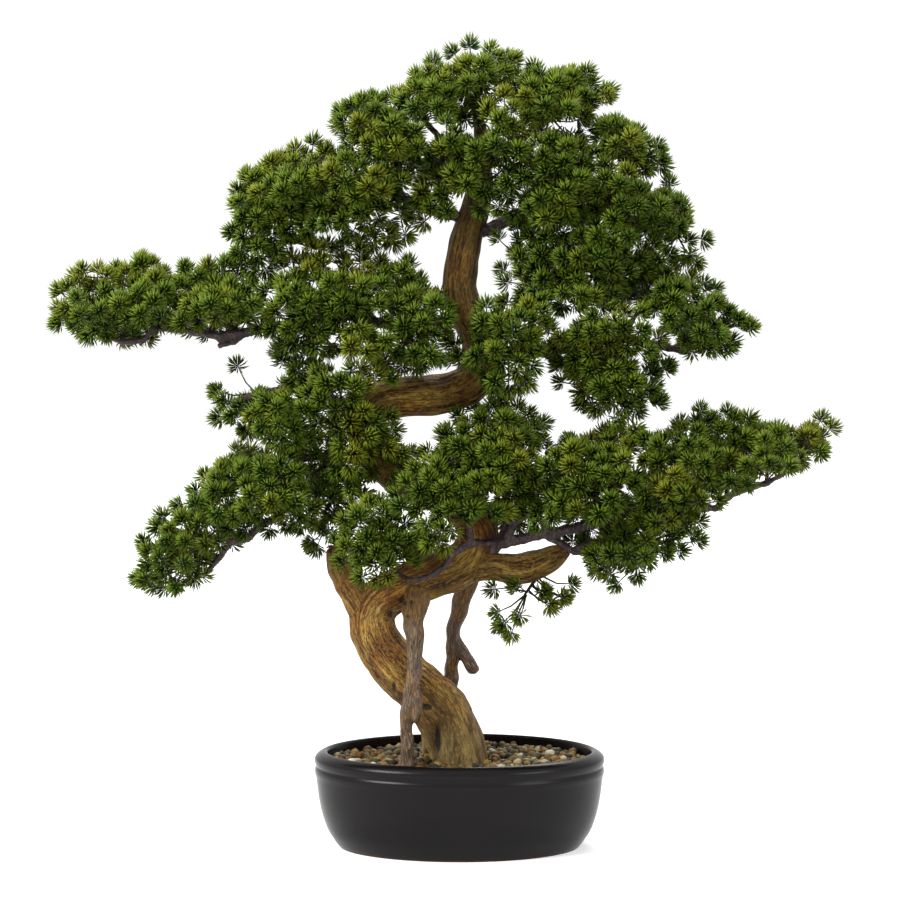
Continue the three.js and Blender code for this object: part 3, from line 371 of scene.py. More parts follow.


# Young bark on living branches: thin scaly plates, purple-brown, nearly black between them partly as painted
# shade, with paler ridges that are partly worn and partly painted highlight.
def scalyBranchBark(tree):
    coords = addNode(tree, "TexCoord").outputs["Object"]
    plates = addNode(tree, "TexNoise", {
        "Vector": coords, "Scale": 330.0, "Detail": 6.0, "Roughness": 0.7,
        "Distortion": 0.4}).outputs["Fac"]
    spots = addNode(tree, "TexNoise", {"Vector": coords, "Scale": 55.0, "Detail": 2.0})
    # dark where the plates sink and pale where they rise: partly the bark's own colour, partly painted shade
    # and painted highlight
    color = addNode(tree, "ValToRGB", {
        0: plates}, stops=[(0.36, "#1f1517"), (0.5, "#4a383b"), (0.66, "#86706e")]).outputs["Color"]
    shade = addNode(tree, "MapRange", {0: spots.outputs["Fac"], 1: 0.35, 2: 0.65, 3: 0.7, 4: 1.15})
    toned = addNode(tree, "Mix", {
        0: 1.0, 6: color, 7: shade.outputs[0]}, data_type="RGBA", blend_type="MULTIPLY").outputs[2]
    bump = addNode(tree, "Bump", {"Strength": 0.8, "Distance": 0.001, "Height": plates}).outputs[0]
    return {"Base Color": toned, "Roughness": 0.6, "Normal": bump}


# Bark of the aerial roots that prop the trunk: purple-grey scales drawn out along the root, with ochre wood
# worn bare in patches, and most of all at the head, where it grows into the trunk.
def propRootBark(tree):
    coords = addNode(tree, "TexCoord").outputs["Object"]
    height = addNode(tree, "SeparateXYZ", {0: coords}).outputs["Z"]
    grain = addNode(tree, "Attribute", attribute_name="grain").outputs["Vector"]
    drawn = addNode(tree, "Mapping", {"Vector": grain, "Scale": (0.8, 0.8, 0.17)}).outputs[0]
    scales = addNode(tree, "TexNoise", {
        "Vector": drawn, "Scale": 1.0, "Detail": 5.0, "Roughness": 0.7, "Distortion": 0.5}).outputs["Fac"]
    zones = addNode(tree, "TexNoise", {"Vector": coords, "Scale": 85.0, "Detail": 3.0}).outputs["Fac"]
    bark = addNode(tree, "ValToRGB", {0: scales}, stops=[
        (0.34, "#1d130f"), (0.47, "#54402f"), (0.58, "#8b7157"), (0.7, "#c0a57c")]).outputs["Color"]
    wood = addNode(tree, "ValToRGB", {0: scales}, stops=[
        (0.34, "#33200f"), (0.48, "#7a5526"), (0.62, "#ad8138"), (0.72, "#cfa857")]).outputs["Color"]
    head = addNode(tree, "MapRange", {0: height, 1: 0.165, 2: 0.2, 3: 0.0, 4: 0.3}).outputs[0]
    worn = addNode(tree, "Math", {0: zones, 1: head}, operation="ADD").outputs[0]
    bare = addNode(tree, "MapRange", {0: worn, 1: 0.56, 2: 0.7, 4: 0.85}).outputs[0]
    mixed = addNode(tree, "Mix", {0: bare, 6: bark, 7: wood}, data_type="RGBA").outputs[2]
    # painted shade, nearly black, in the hollows
    color = withHollowShade(tree, mixed)
    bump = addNode(tree, "Bump", {"Strength": 0.9, "Distance": 0.0014, "Height": scales}).outputs[0]
    return {"Base Color": color, "Roughness": 0.55, "Normal": bump}


# Living pine needles: a waxy green, darkest at the root as painted shade in the middle of the tuft, and
# yellow-green at the tip, partly its own colour and partly painted highlight, each tuft a little yellower or
# bluer than the next, on thin stems that are green at the tuft and brown lower down.
def pineNeedles(tree):
    leaf = addNode(tree, "Attribute", attribute_name="leaf")
    split = addNode(tree, "SeparateXYZ", {0: leaf.outputs["Vector"]})
    along, tuftTone, needleTone = (split.outputs[axis] for axis in "XYZ")
    # along each needle: nearly black at the root as painted shade inside the tuft, to yellow-green at the
    # tip, partly painted highlight
    body = addNode(tree, "ValToRGB", {0: along}, stops=[
        (0.0, "#141a04"), (0.3, "#37480b"), (0.62, "#647e1a"), (1.0, "#b8ca54")]).outputs["Color"]
    tuft = addNode(tree, "ValToRGB", {0: tuftTone}, stops=[
        (0.0, "#1c4c1c"), (0.3, "#3e6012"), (0.65, "#6a7c1a"), (1.0, "#a49c28")]).outputs["Color"]
    mixed = addNode(tree, "Mix", {0: 0.45, 6: body, 7: tuft}, data_type="RGBA").outputs[2]
    shade = addNode(tree, "MapRange", {0: needleTone, 3: 0.75, 4: 1.25}).outputs[0]
    green = addNode(tree, "Mix", {
        0: 1.0, 6: mixed, 7: shade}, data_type="RGBA", blend_type="MULTIPLY").outputs[2]
    isStem = addNode(tree, "Math", {0: along, 1: -0.5}, operation="LESS_THAN").outputs[0]
    stem = addNode(tree, "ValToRGB", {
        0: needleTone}, stops=[(0.0, "#4a5a26"), (1.0, "#43342a")]).outputs["Color"]
    color = addNode(tree, "Mix", {0: isStem, 6: green, 7: stem}, data_type="RGBA").outputs[2]
    return {"Base Color": color, "Roughness": 0.45, "Specular IOR Level": 0.12}


# Camera, at the photograph's viewing angle

cameraPlace = {"distance": 2860, "height": 585, "aimX": -7.6, "aimZ": 318.4, "lens": 144.5}


# the camera stands straight before the tree and turns to the aim
def addCamera():
    data = bpy.data.cameras.new("camera")
    data.lens = cameraPlace["lens"]
    data.sensor_width = 36
    data.clip_end = 60
    camera = bpy.data.objects.new("camera", data)
    place = Vector((cameraPlace["aimX"], -cameraPlace["distance"], cameraPlace["height"])) * mm
    aim = Vector((cameraPlace["aimX"], 0, cameraPlace["aimZ"])) * mm
    camera.location = place
    camera.rotation_euler = (aim - place).to_track_quat("-Z", "Y").to_euler()
    scene.collection.objects.link(camera)
    scene.camera = camera


addCamera()
print("camera set")


# Pot

potShape = {
    "depthRatio": 0.72,
    "sides": 144,
    "stepsPerSpan": 4,
    "side": [(96, 0), (96.8, 0.6), (100.2, 5), (105.8, 14), (110, 26), (112.6, 38), (113.8, 47), (114.4, 52)],
    "rolls": [(115, 56.5), (116, 60), (115.7, 63), (114.7, 65), (115.6, 66.9), (116.2, 69.6), (115.6, 72.2),
              (113.6, 74.4), (110.6, 76.2), (107.8, 77), (106, 76), (105.3, 73.6)],
    "inside": [(104.4, 68), (103, 58), (101, 40), (95, 20), (84, 10)],
}


# the outline (radius, height) is turned round the middle: x = r cos a, y = ratio r sin a, with a point at
# each pole
def buildPot():
    shape = potShape
    outline = smoothPath(shape["side"] + shape["rolls"] + shape["inside"], shape["stepsPerSpan"])
    angle = np.linspace(0, 2 * math.pi, shape["sides"], endpoint=False)
    x = outline[:, None, 0] * np.cos(angle)
    y = outline[:, None, 0] * np.sin(angle) * shape["depthRatio"]
    z = np.broadcast_to(outline[:, None, 1], x.shape)
    rings = np.stack([x, y, z], -1).reshape(-1, 3)
    points = np.vstack([rings, [0, 0, 0], [0, 0, outline[-1, 1]]])
    piece = meshPiece("glazed_pot", points, closedTriangles(len(outline), shape["sides"]))
    dress(piece, newMaterial("satin_black_glazed_stoneware", blackGlaze))
    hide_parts("pot")
    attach(piece, "root")


buildPot()
print("pot built")


# Wood: the trunk and the two props, on paths (x, y, z, radius) close to those of the construction

trunkPath = [
    (0, 7, 38, 19.5), (0, 6, 65, 22.4), (-4.5, 5, 86, 22.3), (-16, 3, 108, 21.2), (-31, 0, 126, 20.4),
    (-49, -2, 143, 20.3), (-64, -3, 163, 18.8), (-70, -3, 183, 17.5), (-62, -3, 199, 17),
    (-42, -2, 210, 17.5), (-20, 0, 218, 18), (0, 3, 225, 17.6), (12, 8, 237, 17), (15, 12, 252, 16.4),
    (7, 15, 268, 16.2), (-9, 15, 279, 16.2), (-27, 13, 287, 16.2), (-45, 10, 296, 16.2), (-60, 6, 308, 16),
    (-70, 2, 325, 15.8), (-74, -2, 342, 15.5), (-66, -5, 356, 15.6), (-48, -6, 361, 16),
    (-30, -5, 362, 16.2), (-11, -2, 364, 16), (6, 1, 370, 15.5), (17, 4, 382, 15), (18, 6, 397, 14.5),
    (12, 6, 414, 14), (4, 3, 430, 13.6), (0, 0, 449, 13.4), (2, -2, 468, 13), (6, -3, 488, 12.4),
    (11, -2, 506, 11.8), (15, 0, 523, 10.4), (18, 2, 542, 8), (18, 3, 560, 6), (15, 2, 579, 4.4),
    (11, 0, 598, 3),
]
limbPath = [(2, 2, 222, 12), (26, 0, 225, 11), (46, -2, 223.5, 12.3), (64, -3, 227.5, 11.3),
            (78, -3, 235, 8.6), (86, -3, 239, 5)]
stubPath = [(-72, -3, 184, 13), (-84, -4, 204, 11.5), (-94, -5, 221, 10), (-99, -7, 240, 7.6)]
rootPaths = [
    [(-24, -2, 134, 9), (-7, -4, 115, 13), (4.5, -11, 88, 11.6), (13, -17, 56, 9)],
    [(-10, -6, 104, 12), (-9, -14, 80, 10), (-9, -19, 56, 8)],
    [(-18, 14, 104, 10), (-22, 28, 84, 8.5), (-23, 42, 58, 8)],
    [(-20, 8, 128, 8), (-7, 13, 108, 10), (9, 21, 80, 9), (17, 28, 56, 7)],
]
frontPropPaths = [
    [(-34, -12, 206, 12), (-35.5, -21, 193, 10.4), (-36.5, -27, 178, 7.4), (-36, -31, 154, 6.2),
     (-37, -33, 134, 6), (-41, -33, 118, 5.6), (-42, -32, 100, 5), (-41, -31, 84, 5), (-41, -30, 64, 5.8)],
    [(-36, -34, 132, 4.8), (-34.5, -35, 118, 5.2), (-34.5, -34, 106, 4)],
]
rearPropPaths = [
    [(12, 10, 226, 6.5), (7, 14, 210, 7.4), (0, 19, 190, 6.4), (-5, 23, 170, 5.8), (-5.5, 28, 150, 5.4),
     (-7, 36, 128, 5.8), (-9, 44, 100, 6.4), (-7, 48, 64, 7)],
    [(-3, 25, 162, 4.2), (5, 26, 149, 4.8), (12.5, 27, 137, 5.2)],
]
woodSkin = {"trunkVoxel": 1.6, "propVoxel": 1.3, "smoothing": 3, "pathSteps": 12, "sides": 40,
            "fullGroove": 14}  # the radius at which the strands are as deep as strandDepth says
# the shaded hollows are dents on the front, each also painted nearly black as painted shade: x, z, half
# width, half height, depth
woodGrain = {
    "strands": 8, "strandDepth": 1.5, "ribs": 23, "ribDepth": 0.9, "twist": 0.02, "knobs": 0.5,
    "shadedHollows": [(-26, 114.5, 5.2, 3.6, 2.8), (-55, 189, 2.6, 4, 1), (-18.5, 88, 2.6, 13, 2.6),
              (-45.5, 199.5, 3, 3, 1.6), (-52, 131, 2, 6, 1.2)],
}
trunkPaths = [smoothPath(path, woodSkin["pathSteps"]) for path in [trunkPath, limbPath, stubPath, *rootPaths]]
propPaths = [smoothPath(path, woodSkin["pathSteps"]) for path in [*frontPropPaths, *rearPropPaths]]


# grooves that run along the wood: the sharp valleys of |sin| round the stem, which wander and fade
def grooves(along, angle, count, twist, seed):
    rng = np.random.default_rng(seed)
    wander = sum(
        rng.uniform(0.3, 0.6) * np.sin(k * angle + along / rng.uniform(18, 45) + rng.uniform(0, 6.28))
        for k in (1, 2, 3))
    valley = np.abs(np.sin(0.5 * count * angle + twist * along + wander))
    fade = 0.65 + 0.35 * np.sin(along / 23 + 2 * angle + seed)
    return (np.sqrt(valley) - 0.75) * fade


# hollows on the front: each is deep in its middle and fades as exp(-(x / width)^2 - (z / height)^2); the same
# share sets the painted shade
def hollows(points, normals, shadedHollows):
    share, depth = np.zeros(len(points)), np.zeros(len(points))
    for x, z, width, height, deep in shadedHollows:
        near = np.exp(-((points[:, 0] - x) / width) ** 2 - ((points[:, 2] - z) / height) ** 2)
        near *= normals[:, 1] < 0
        share = np.maximum(share, near)
        depth += deep * near
    return share, depth


# tubes along the paths under one skin, raised and sunk along its normals by strands, ribs, knobs and hollows,
# with painted shade in the hollows
def buildWood(name, paths, voxel, grain, material, node):
    points, triangles = stacked([tubeSurface(path, woodSkin["sides"]) for path in paths])
    piece = meshPiece(name, points, triangles)
    joinedSkin(piece, voxel, woodSkin["smoothing"])
    points = pointsOf(piece)
    along, angle, radius, _ = placeOnWood(points, paths)
    strands = grooves(along, angle, grain["strands"], grain["twist"], 3)
    ribs = grooves(along, angle, grain["ribs"], 1.7 * grain["twist"], 8)
    share = np.clip(radius / woodSkin["fullGroove"], 0.4, 1.4)
    relief = grain["strandDepth"] * strands * share + grain["ribDepth"] * ribs
    relief += grain["knobs"] * waves(points, 17, 5)
    normals = normalsOf(piece)
    hollowShade, depth = hollows(points, normals, grain["shadedHollows"])
    movePoints(piece, points + normals * (relief - depth)[:, None])
    paint(piece, "grain", np.stack([radius * np.cos(angle), radius * np.sin(angle), along], 1))
    # how high the skin stands in its strands and ribs, which the trunk's material turns into grain colour and
    # painted shade in the grooves
    paint(piece, "groove", np.clip(0.5 + 0.7 * strands + 0.5 * ribs, 0, 1))
    # how much painted shade each point gets in the hollows
    paint(piece, "hollowShade", hollowShade)
    dress(piece, material)
    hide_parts(node)
    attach(piece, "root")


propGrain = {
    "strands": 4, "strandDepth": 0.8, "ribs": 9, "ribDepth": 0.35, "twist": 0.03, "knobs": 0.9,
    "shadedHollows": [(-45.5, 199.5, 3, 3, 1.8), (-38.3, 201, 2, 1.8, 1.4), (-41.3, 189.5, 1.8, 2, 1.4)],
}
propBark = newMaterial("purple_grey_root_bark", propRootBark)
trunkWood = newMaterial("weathered_pine_wood", weatheredTrunk)
buildWood("weathered_trunk", trunkPaths, woodSkin["trunkVoxel"], woodGrain, trunkWood, "trunk")
buildWood("front_prop", propPaths[:2], woodSkin["propVoxel"], propGrain, propBark, "prop_front")
buildWood("rear_prop", propPaths[2:], woodSkin["propVoxel"], propGrain, propBark, "prop_rear")
print("trunk and props built")


# Branches: a merged copy of each construction node, under one finer skin with knobs and ridges

branchSkin = {"voxel": 1.4, "smoothing": 5, "knobWave": 9, "knobDepth": 0.5, "ridgeWave": 3.2,
              "ridgeDepth": 0.25, "slimmer": {"branch_limb": 0.45, "branch_far_left": 0.3}}
branchBark = newMaterial("purple_brown_bark", scalyBranchBark)


# points move out along their normals by two waves, one for knobs and one for ridges, less what slims a branch
def buildBranch(node):
    piece = meshPiece(node.replace("branch", "bark"), *mergedTriangles(frame["nodes"][node], 3))
    joinedSkin(piece, branchSkin["voxel"], branchSkin["smoothing"])
    points = pointsOf(piece)
    relief = branchSkin["knobDepth"] * waves(points, branchSkin["knobWave"], 21)
    relief += branchSkin["ridgeDepth"] * waves(points, branchSkin["ridgeWave"], 22)
    relief -= branchSkin["slimmer"].get(node, 0)
    movePoints(piece, points + normalsOf(piece) * relief[:, None])
    dress(piece, branchBark)
    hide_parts(node)
    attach(piece, "root")


for node in sorted(frame["nodes"]):
    if node.startswith("branch"):
        buildBranch(node)
print("branches built")


# Gravel: stones on a bed, each a rounded lump with its own size, turn and colour

gravelBed = {
    "spacing": 6.4,
    "rows": 18,                       # rows and columns to each side of the middle
    "columns": 20,
    "layers": [(-3.4, 3), (0.0, 4)],  # lift and sideways shift of each layer
    "uneven": (-2.6, 1.5),            # how far a stone lies below or above its layer
    "stray": 1.5,                     # how far it lies from its place in the row
    "halfLength": 103.5,
    "share": 0.985,                   # how much of the bed's length and depth the stones' middles take
    "top": 68.5,
    "woodRoom": 1.2,
    "longest": (3.2, 5.0),            # half of a stone's longest measure
    "sides": 6,
    "rings": 3,
    "seed": 17,
}


# a lump: a ball of a few rings whose radius swells and sinks by low waves, pressed flat and turned
def stones(centres, rng):
    sides, rings = gravelBed["sides"], gravelBed["rings"]
    turn = np.linspace(0, 2 * math.pi, sides, endpoint=False)
    tilt = np.linspace(0, math.pi, rings + 2)[1:-1]
    ball = np.stack([np.outer(np.sin(tilt), np.cos(turn)), np.outer(np.sin(tilt), np.sin(turn)),
                     np.outer(np.cos(tilt), np.ones(sides))], -1).reshape(-1, 3)
    ball = np.vstack([ball, [0, 0, 1], [0, 0, -1]])
    n = len(centres)
    low, high = gravelBed["longest"]
    size = rng.uniform(low, high, (n, 1)) * np.stack(
        [np.ones(n), rng.uniform(0.7, 1.0, n), rng.uniform(0.5, 0.8, n)], 1)
    swell = 1 + 0.11 * np.sin(3 * ball @ rng.normal(size=(3, n)) + rng.uniform(0, 6.28, n)).T[..., None]
    frameX = unit(rng.normal(size=(n, 3)) * (1, 1, 0.35))
    frameZ = unit(np.cross(frameX, rng.normal(size=(n, 3)) * (1, 1, 0.3)))
    frameY = np.cross(frameZ, frameX)
    local = ball[None] * swell * size[:, None]
    turned = (local[..., :1] * frameX[:, None] + local[..., 1:2] * frameY[:, None]
              + local[..., 2:] * frameZ[:, None])
    points = centres[:, None] + turned
    one = closedTriangles(rings, sides)[:, ::-1]
    triangles = one[None] + (np.arange(n) * len(ball))[:, None, None]
    return points.reshape(-1, 3), triangles.reshape(-1, 3), len(ball)


# stones in two layers of staggered rows, each moved a little, where pot and wood leave room
def buildGravel():
    rng = np.random.default_rng(gravelBed["seed"])
    spacing, half = gravelBed["spacing"], gravelBed["halfLength"]
    stray, places = gravelBed["stray"], []
    rowNumbers = np.arange(-gravelBed["rows"], gravelBed["rows"] + 1)
    columnNumbers = np.arange(-gravelBed["columns"], gravelBed["columns"] + 1)
    for lift, shift in gravelBed["layers"]:
        rows, columns = np.meshgrid(rowNumbers, columnNumbers, indexing="ij")
        x = (columns + 0.5 * (rows % 2)).ravel() * spacing + shift
        y = rows.ravel() * spacing * math.sqrt(3) / 2 + shift
        z = gravelBed["top"] + lift + rng.uniform(*gravelBed["uneven"], x.size)
        layer = np.stack([x, y, z], 1)
        layer[:, :2] += rng.uniform(-stray, stray, (x.size, 2))
        places.append(layer)
    centres = np.vstack(places)
    reach = np.hypot(centres[:, 0] / half, centres[:, 1] / (half * potShape["depthRatio"] - 1))
    _, _, _, clear = placeOnWood(centres, trunkPaths + propPaths)
    centres = centres[(reach < gravelBed["share"]) & (clear > gravelBed["woodRoom"])]
    points, triangles, perStone = stones(centres, rng)
    piece = meshPiece("pea_gravel", points, triangles)
    n = len(centres)
    stone = np.stack([rng.beta(1.5, 1.5, n), rng.random(n), np.zeros(n)], 1)
    paint(piece, "stone", np.repeat(stone, perStone, axis=0))
    dress(piece, newMaterial("water_worn_pea_gravel", peaGravel))
    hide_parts("gravel")
    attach(piece, "root")
    print(n, "stones")


buildGravel()
dress(frame["nodes"]["soil"], newMaterial("baked_clay_granules", bakedClay))
print("gravel built")


# Needles: tufts at the buds that are read from the construction's sprays, and between them more tufts on
# stems that fork from the first ones

foliage = {
    "spacing": 11.7,       # least distance between two tufts
    "reach": (4, 20),      # how far a forked tuft stands from its parent stem
    "tries": 80,           # places looked at round the stem of each tuft that isn't forked
    "hang": 0.3,           # reach below a stem, as a share of the reach above it
    "edgeRoom": 12.5,      # least distance of a tuft's middle from the tree's box
    "barkRoom": 5,         # least distance of a tuft's middle from bark
    "perTuft": 48,
    "length": (10.0, 12.4),
    "width": 1.4,
    "blunt": 0.62,         # where along a needle it is widest
    "fullness": 0.5,       # its thickness there, as a share of half its width
    "budLength": 3.0,
    "curl": 0.3,           # how far a needle's tip turns towards the tuft's axis
    "leastBulk": 14,       # a forked tuft may stand this far from its spray's core, or as far as the others
    "stemRadius": (1.0, 0.7, 0.5),  # at the foot of an old stem, of a forked one, and at the tuft
    "coreRadius": (2.2, 1.2),
    "stemRings": 3,
    "stemSides": 3,
    "seed": 5,
}
# the least distance between two tufts in looser sprays
looseSprays = {"spray_drooping": 24, "spray_low_left_hanging": 13, "spray_low_left_end": 12.5,
               "spray_far_right_end": 12.5, "spray_far_left_end": 12}
# places that stay open between the pads when seen from the front: x, z, half width, half height
openPlaces = [
    (-20, 477, 24, 31), (30, 464, 13, 30), (4, 470, 22, 46), (-24, 365, 54, 17), (-31, 330, 15, 15),
    (66, 358, 32, 17), (-58, 176, 60, 60), (-172, 380, 36, 20), (-240, 300, 30, 40), (-214, 312, 24, 28),
    (-190, 322, 15, 15), (-175, 220, 24, 29), (206, 538, 35, 52), (-112, 606, 22, 40), (212, 246, 40, 34),
    (262, 266, 44, 44), (268, 350, 26, 20), (150, 196, 30, 26), (194, 374, 20, 13), (162, 343, 14, 12),
    (-222, 515, 46, 60), (-75, 625, 40, 30), (140, 622, 34, 24), (172, 590, 26, 26), (218, 508, 40, 66),
    (-322, 472, 30, 18), (-345, 440, 20, 40), (-318, 398, 20, 14), (-150, 242, 26, 12), (76, 335, 14, 12),
    (178, 352, 12, 10), (-20, 640, 44, 20), (72, 640, 30, 22), (160, 585, 30, 26), (-205, 330, 26, 24),
    (100, 334, 14, 10), (236, 396, 22, 16), (60, 186, 9, 22), (92, 232, 14, 10), (112, 206, 16, 12),
    (92, 253, 27, 9),
]
# middles of tufts that close gaps between the sprays
closingTufts = [
    (-44, -22, 504), (-50, -26, 460), (-62, -16, 468), (-72, -4, 452), (36, -24, 437), (50, -30, 446),
    (70, -24, 400), (79, -22, 389), (97, -20, 358), (104, -24, 370), (198, -10, 342), (214, -12, 335),
    (140, -26, 336), (-152, -20, 462), (-128, -22, 326), (-104, -24, 328), (-116, -10, 318),
    (-180, -16, 258), (48, -34, 286), (60, -30, 296), (104, 14, 252), (90, 16, 260), (-15, -36, 318),
    (56, -22, 489), (68, -24, 491), (-12, -26, 414), (-46, -26, 386), (-30, -28, 390), (4, -34, 562),
    (92, -20, 566), (44, -26, 604), (-38, -24, 300), (-36, -24, 568), (-30, -20, 580), (-120, -22, 486),
    (-110, -20, 480), (-132, -18, 484), (-144, -18, 397), (-72, -30, 286), (-62, -34, 279), (50, -34, 273),
    (89, -16, 213), (-52, -30, 337), (144, -18, 541), (144, -24, 477), (130, -26, 279), (-256, -8, 216),
    (36, -20, 617), (4, -30, 581), (30, -30, 600), (64, -30, 571), (-41, -26, 551), (-28, -28, 500),
    (-40, -26, 467), (80, -22, 434), (112, -20, 434), (164, -24, 474), (286, -12, 344), (155, -10, 361),
    (212, -12, 349), (-100, -22, 402), (-160, -14, 437), (-236, -10, 266), (-244, -8, 210),
    (-243, -12, 466), (-216, -14, 464), (-192, -10, 366), (80, -22, 374), (46, -24, 354), (-26, -36, 320),
    (30, -24, 487), (37, -24, 453), (-8, -26, 392), (82, -16, 203), (72, -16, 197), (66, -16, 207),
    (-65, -58, 222), (76, 14, 266), (90, 16, 244), (101, 16, 243), (47, 14, 256), (36, -16, 181),
    (190, -12, 247),
]


# a spray's tufts: a bud is six corners, or all but one, at one distance from their middle, its needles end in
# corners that only the bud touches, and its stem starts at the other corners that it is tied to; some places
# on the cores are taken for buds as well
def readSpray(node):
    points, triangles = mergedTriangles(node, 2)
    linked = np.zeros((len(points), len(points)), bool)
    for a, b in ((0, 1), (1, 2), (2, 0)):
        linked[triangles[:, a], triangles[:, b]] = True
        linked[triangles[:, b], triangles[:, a]] = True
    budRadius, slack = 1.7, 0.08
    apart = np.linalg.norm(points[:, None] - points[None], axis=-1)
    i, j = np.nonzero(np.triu(np.abs(apart - 2 * budRadius) < slack))
    middles = (points[i] + points[j]) / 2
    ring = np.abs(np.linalg.norm(middles[:, None] - points[None], axis=-1) - budRadius) < slack
    best = np.argsort(-ring.sum(1), kind="stable")
    best = best[ring.sum(1)[best] >= 5]
    middles, ring = middles[best], ring[best]
    same = np.linalg.norm(middles[:, None] - middles[None], axis=-1) < 1
    keep = ~np.triu(same, 1).any(0)
    middles, ring = middles[keep], ring[keep]
    axes, feet, rest = [], [], ~ring.any(0)
    for middle, bud in zip(middles, ring):
        tied = linked[bud].any(0) & ~bud & (np.linalg.norm(points - middle, axis=1) > 1.3 * budRadius)
        ends = tied & ~(linked & ~bud[None]).any(1)
        rest &= ~ends
        foot = tied & ~ends
        feet.append(points[foot].mean(0) if foot.any() else middle - (0, 0, 12))
        axes.append(unit((points[ends] - middle).mean(0)) if ends.any() else unit(middle - feet[-1]))
    return middles, np.array(axes), np.array(feet), points[rest]


# the spray's own slim core, as a line along the longest way through its corners, thick end at the branch
def coreLine(corners, wood):
    middle = corners.mean(0)
    _, _, ways = np.linalg.svd(corners - middle)
    reach = (corners - middle) @ ways[0]
    ends = middle + ways[0] * np.array([[reach.min()], [reach.max()]])
    _, _, _, clear = placeOnWood(ends, wood)
    return ends[np.argsort(clear)]


def nearestOnLine(points, ends):  # each point's foot on the straight line between two ends
    ray = ends[1] - ends[0]
    share = np.clip((points - ends[0]) @ ray / (ray @ ray), 0, 1)
    return ends[0] + share[:, None] * ray


# a new tuft keeps clear of other tufts, of the sides of the tree's box and of the open places
def mayStand(place, spacing, taken):
    low, high = (np.array(corner) / mm for corner in cadBox)
    room = foliage["edgeRoom"]
    if (place < low + room).any() or (place > high - room).any():
        return False
    for x, z, halfWidth, halfHeight in openPlaces:
        if math.hypot((place[0] - x) / halfWidth, (place[2] - z) / halfHeight) < 1:
            return False
    return ((taken - place) ** 2).sum(1).min() > spacing ** 2


# round each tuft's own stem, places at random: a share of the way up it and a reach out to one side, less
# far below it than above; a place that may be taken gets a tuft that looks away from stem and core
def forkedTufts(middles, axes, feet, core, spacing, taken, rng):
    places, ways, starts = [], [], []
    low, high = foliage["reach"]
    bulk = max(np.linalg.norm(middles - nearestOnLine(middles, core), axis=1).max(), foliage["leastBulk"])
    tries = foliage["tries"]
    for middle, axis, foot in zip(middles, axes, feet):
        length = np.linalg.norm(middle - foot)
        stem = unit(middle - foot)
        share = rng.uniform(0.05, 1.05, (tries, 1))
        side = unit(np.cross(stem, rng.normal(size=(tries, 3))))
        side[:, 2] *= np.where(side[:, 2] < 0, foliage["hang"], 1)
        candidates = foot + stem * length * share + side * rng.uniform(low, high, (tries, 1))
        _, _, _, clear = placeOnWood(candidates, trunkPaths)
        outward = candidates - nearestOnLine(candidates, core)
        fit = (clear > foliage["barkRoom"]) & (np.linalg.norm(outward, axis=1) < bulk)
        for place, far, away in zip(candidates[fit], share[fit], unit(outward)[fit]):
            if not mayStand(place, spacing, taken):
                continue
            start = foot + stem * length * max(0.03, far[0] - rng.uniform(0.15, 0.4))
            way = unit(0.5 * unit(place - start) + 0.25 * away + 0.25 * axis + np.array([0, 0, 0.3])
                       + 0.3 * rng.normal(size=3))
            places.append(place)
            ways.append(way)
            starts.append(start)
            taken = np.vstack([taken, place])
    places, ways, starts = (np.array(rows).reshape(-1, 3) for rows in (places, ways, starts))
    return places, ways, starts, taken


# stems as tapered tubes on a quadratic curve: (1-t)^2 start + 2t(1-t) bend + t^2 end
def stemTubes(starts, bends, ends, thick, thin):
    rings, sides = foliage["stemRings"], foliage["stemSides"]
    t = np.linspace(0, 1, rings)[None, :, None]
    line = (1 - t) ** 2 * starts[:, None] + 2 * t * (1 - t) * bends[:, None] + t ** 2 * ends[:, None]
    tangent = unit(np.gradient(line, axis=1))
    first = unit(np.cross(tangent, np.array([0.23, 0.91, 0.34])))
    second = np.cross(tangent, first)
    angle = np.linspace(0, 2 * math.pi, sides, endpoint=False)[None, None, :, None]
    radius = (thick[:, None] + (thin - thick)[:, None] * t[..., 0])[..., None, None]
    spokes = np.cos(angle) * first[:, :, None] + np.sin(angle) * second[:, :, None]
    points = (line[:, :, None] + radius * spokes).reshape(len(starts), -1, 3)
    one = ringTriangles(rings, sides)
    triangles = one[None] + (np.arange(len(starts)) * points.shape[1])[:, None, None]
    return points, triangles.reshape(-1, 3)


# needles round a bud, spread evenly over a half ball and more: turned by the golden angle, and open by the
# arc cosine of an even share; each is a slim four-sided form: root, two corners where it is widest, and tip
def needleBlades(middles, axes, rng):
    n, count = len(middles), foliage["perTuft"]
    first = unit(np.cross(axes, np.array([0.31, 0.93, 0.2])))
    second = np.cross(axes, first)
    k = np.arange(count)[None]
    share = (k + rng.random((n, count))) / count
    turn = (goldenAngle * k + rng.uniform(0, 6.28, (n, 1)) + rng.normal(0, 0.12, (n, count)))[..., None]
    opening = (np.arccos(np.clip(0.02 + 0.98 * share, -1, 1)) + rng.normal(0, 0.06, (n, count)))[..., None]
    axis = axes[:, None]
    outward = np.cos(turn) * first[:, None] + np.sin(turn) * second[:, None]
    heading = np.cos(opening) * axis + np.sin(opening) * outward
    low, high = foliage["length"]
    length = (rng.uniform(low, high, (n, count)) * rng.uniform(0.86, 1.04, (n, 1)))[..., None]
    root = middles[:, None] + axis * ((share - 0.7) * foliage["budLength"])[..., None]
    blunt = foliage["blunt"]
    middle = root + heading * length * blunt
    end = middle + unit(heading + foliage["curl"] * axis) * length * (1 - blunt)
    across = unit(np.cross(heading, axis + 0.01)) * foliage["width"] / 2
    swell = np.cross(heading, across) * foliage["fullness"]
    points = np.stack([root, middle + swell + across, middle + swell - across, end], 2)
    one = np.array([[0, 2, 1], [3, 1, 2], [0, 1, 3], [0, 3, 2]])
    triangles = (one[None] + (np.arange(n * count) * 4)[:, None, None]).reshape(-1, 3)
    along = np.tile([0.0, blunt, blunt, 1.0], n * count)
    return points.reshape(-1, 3), triangles, along


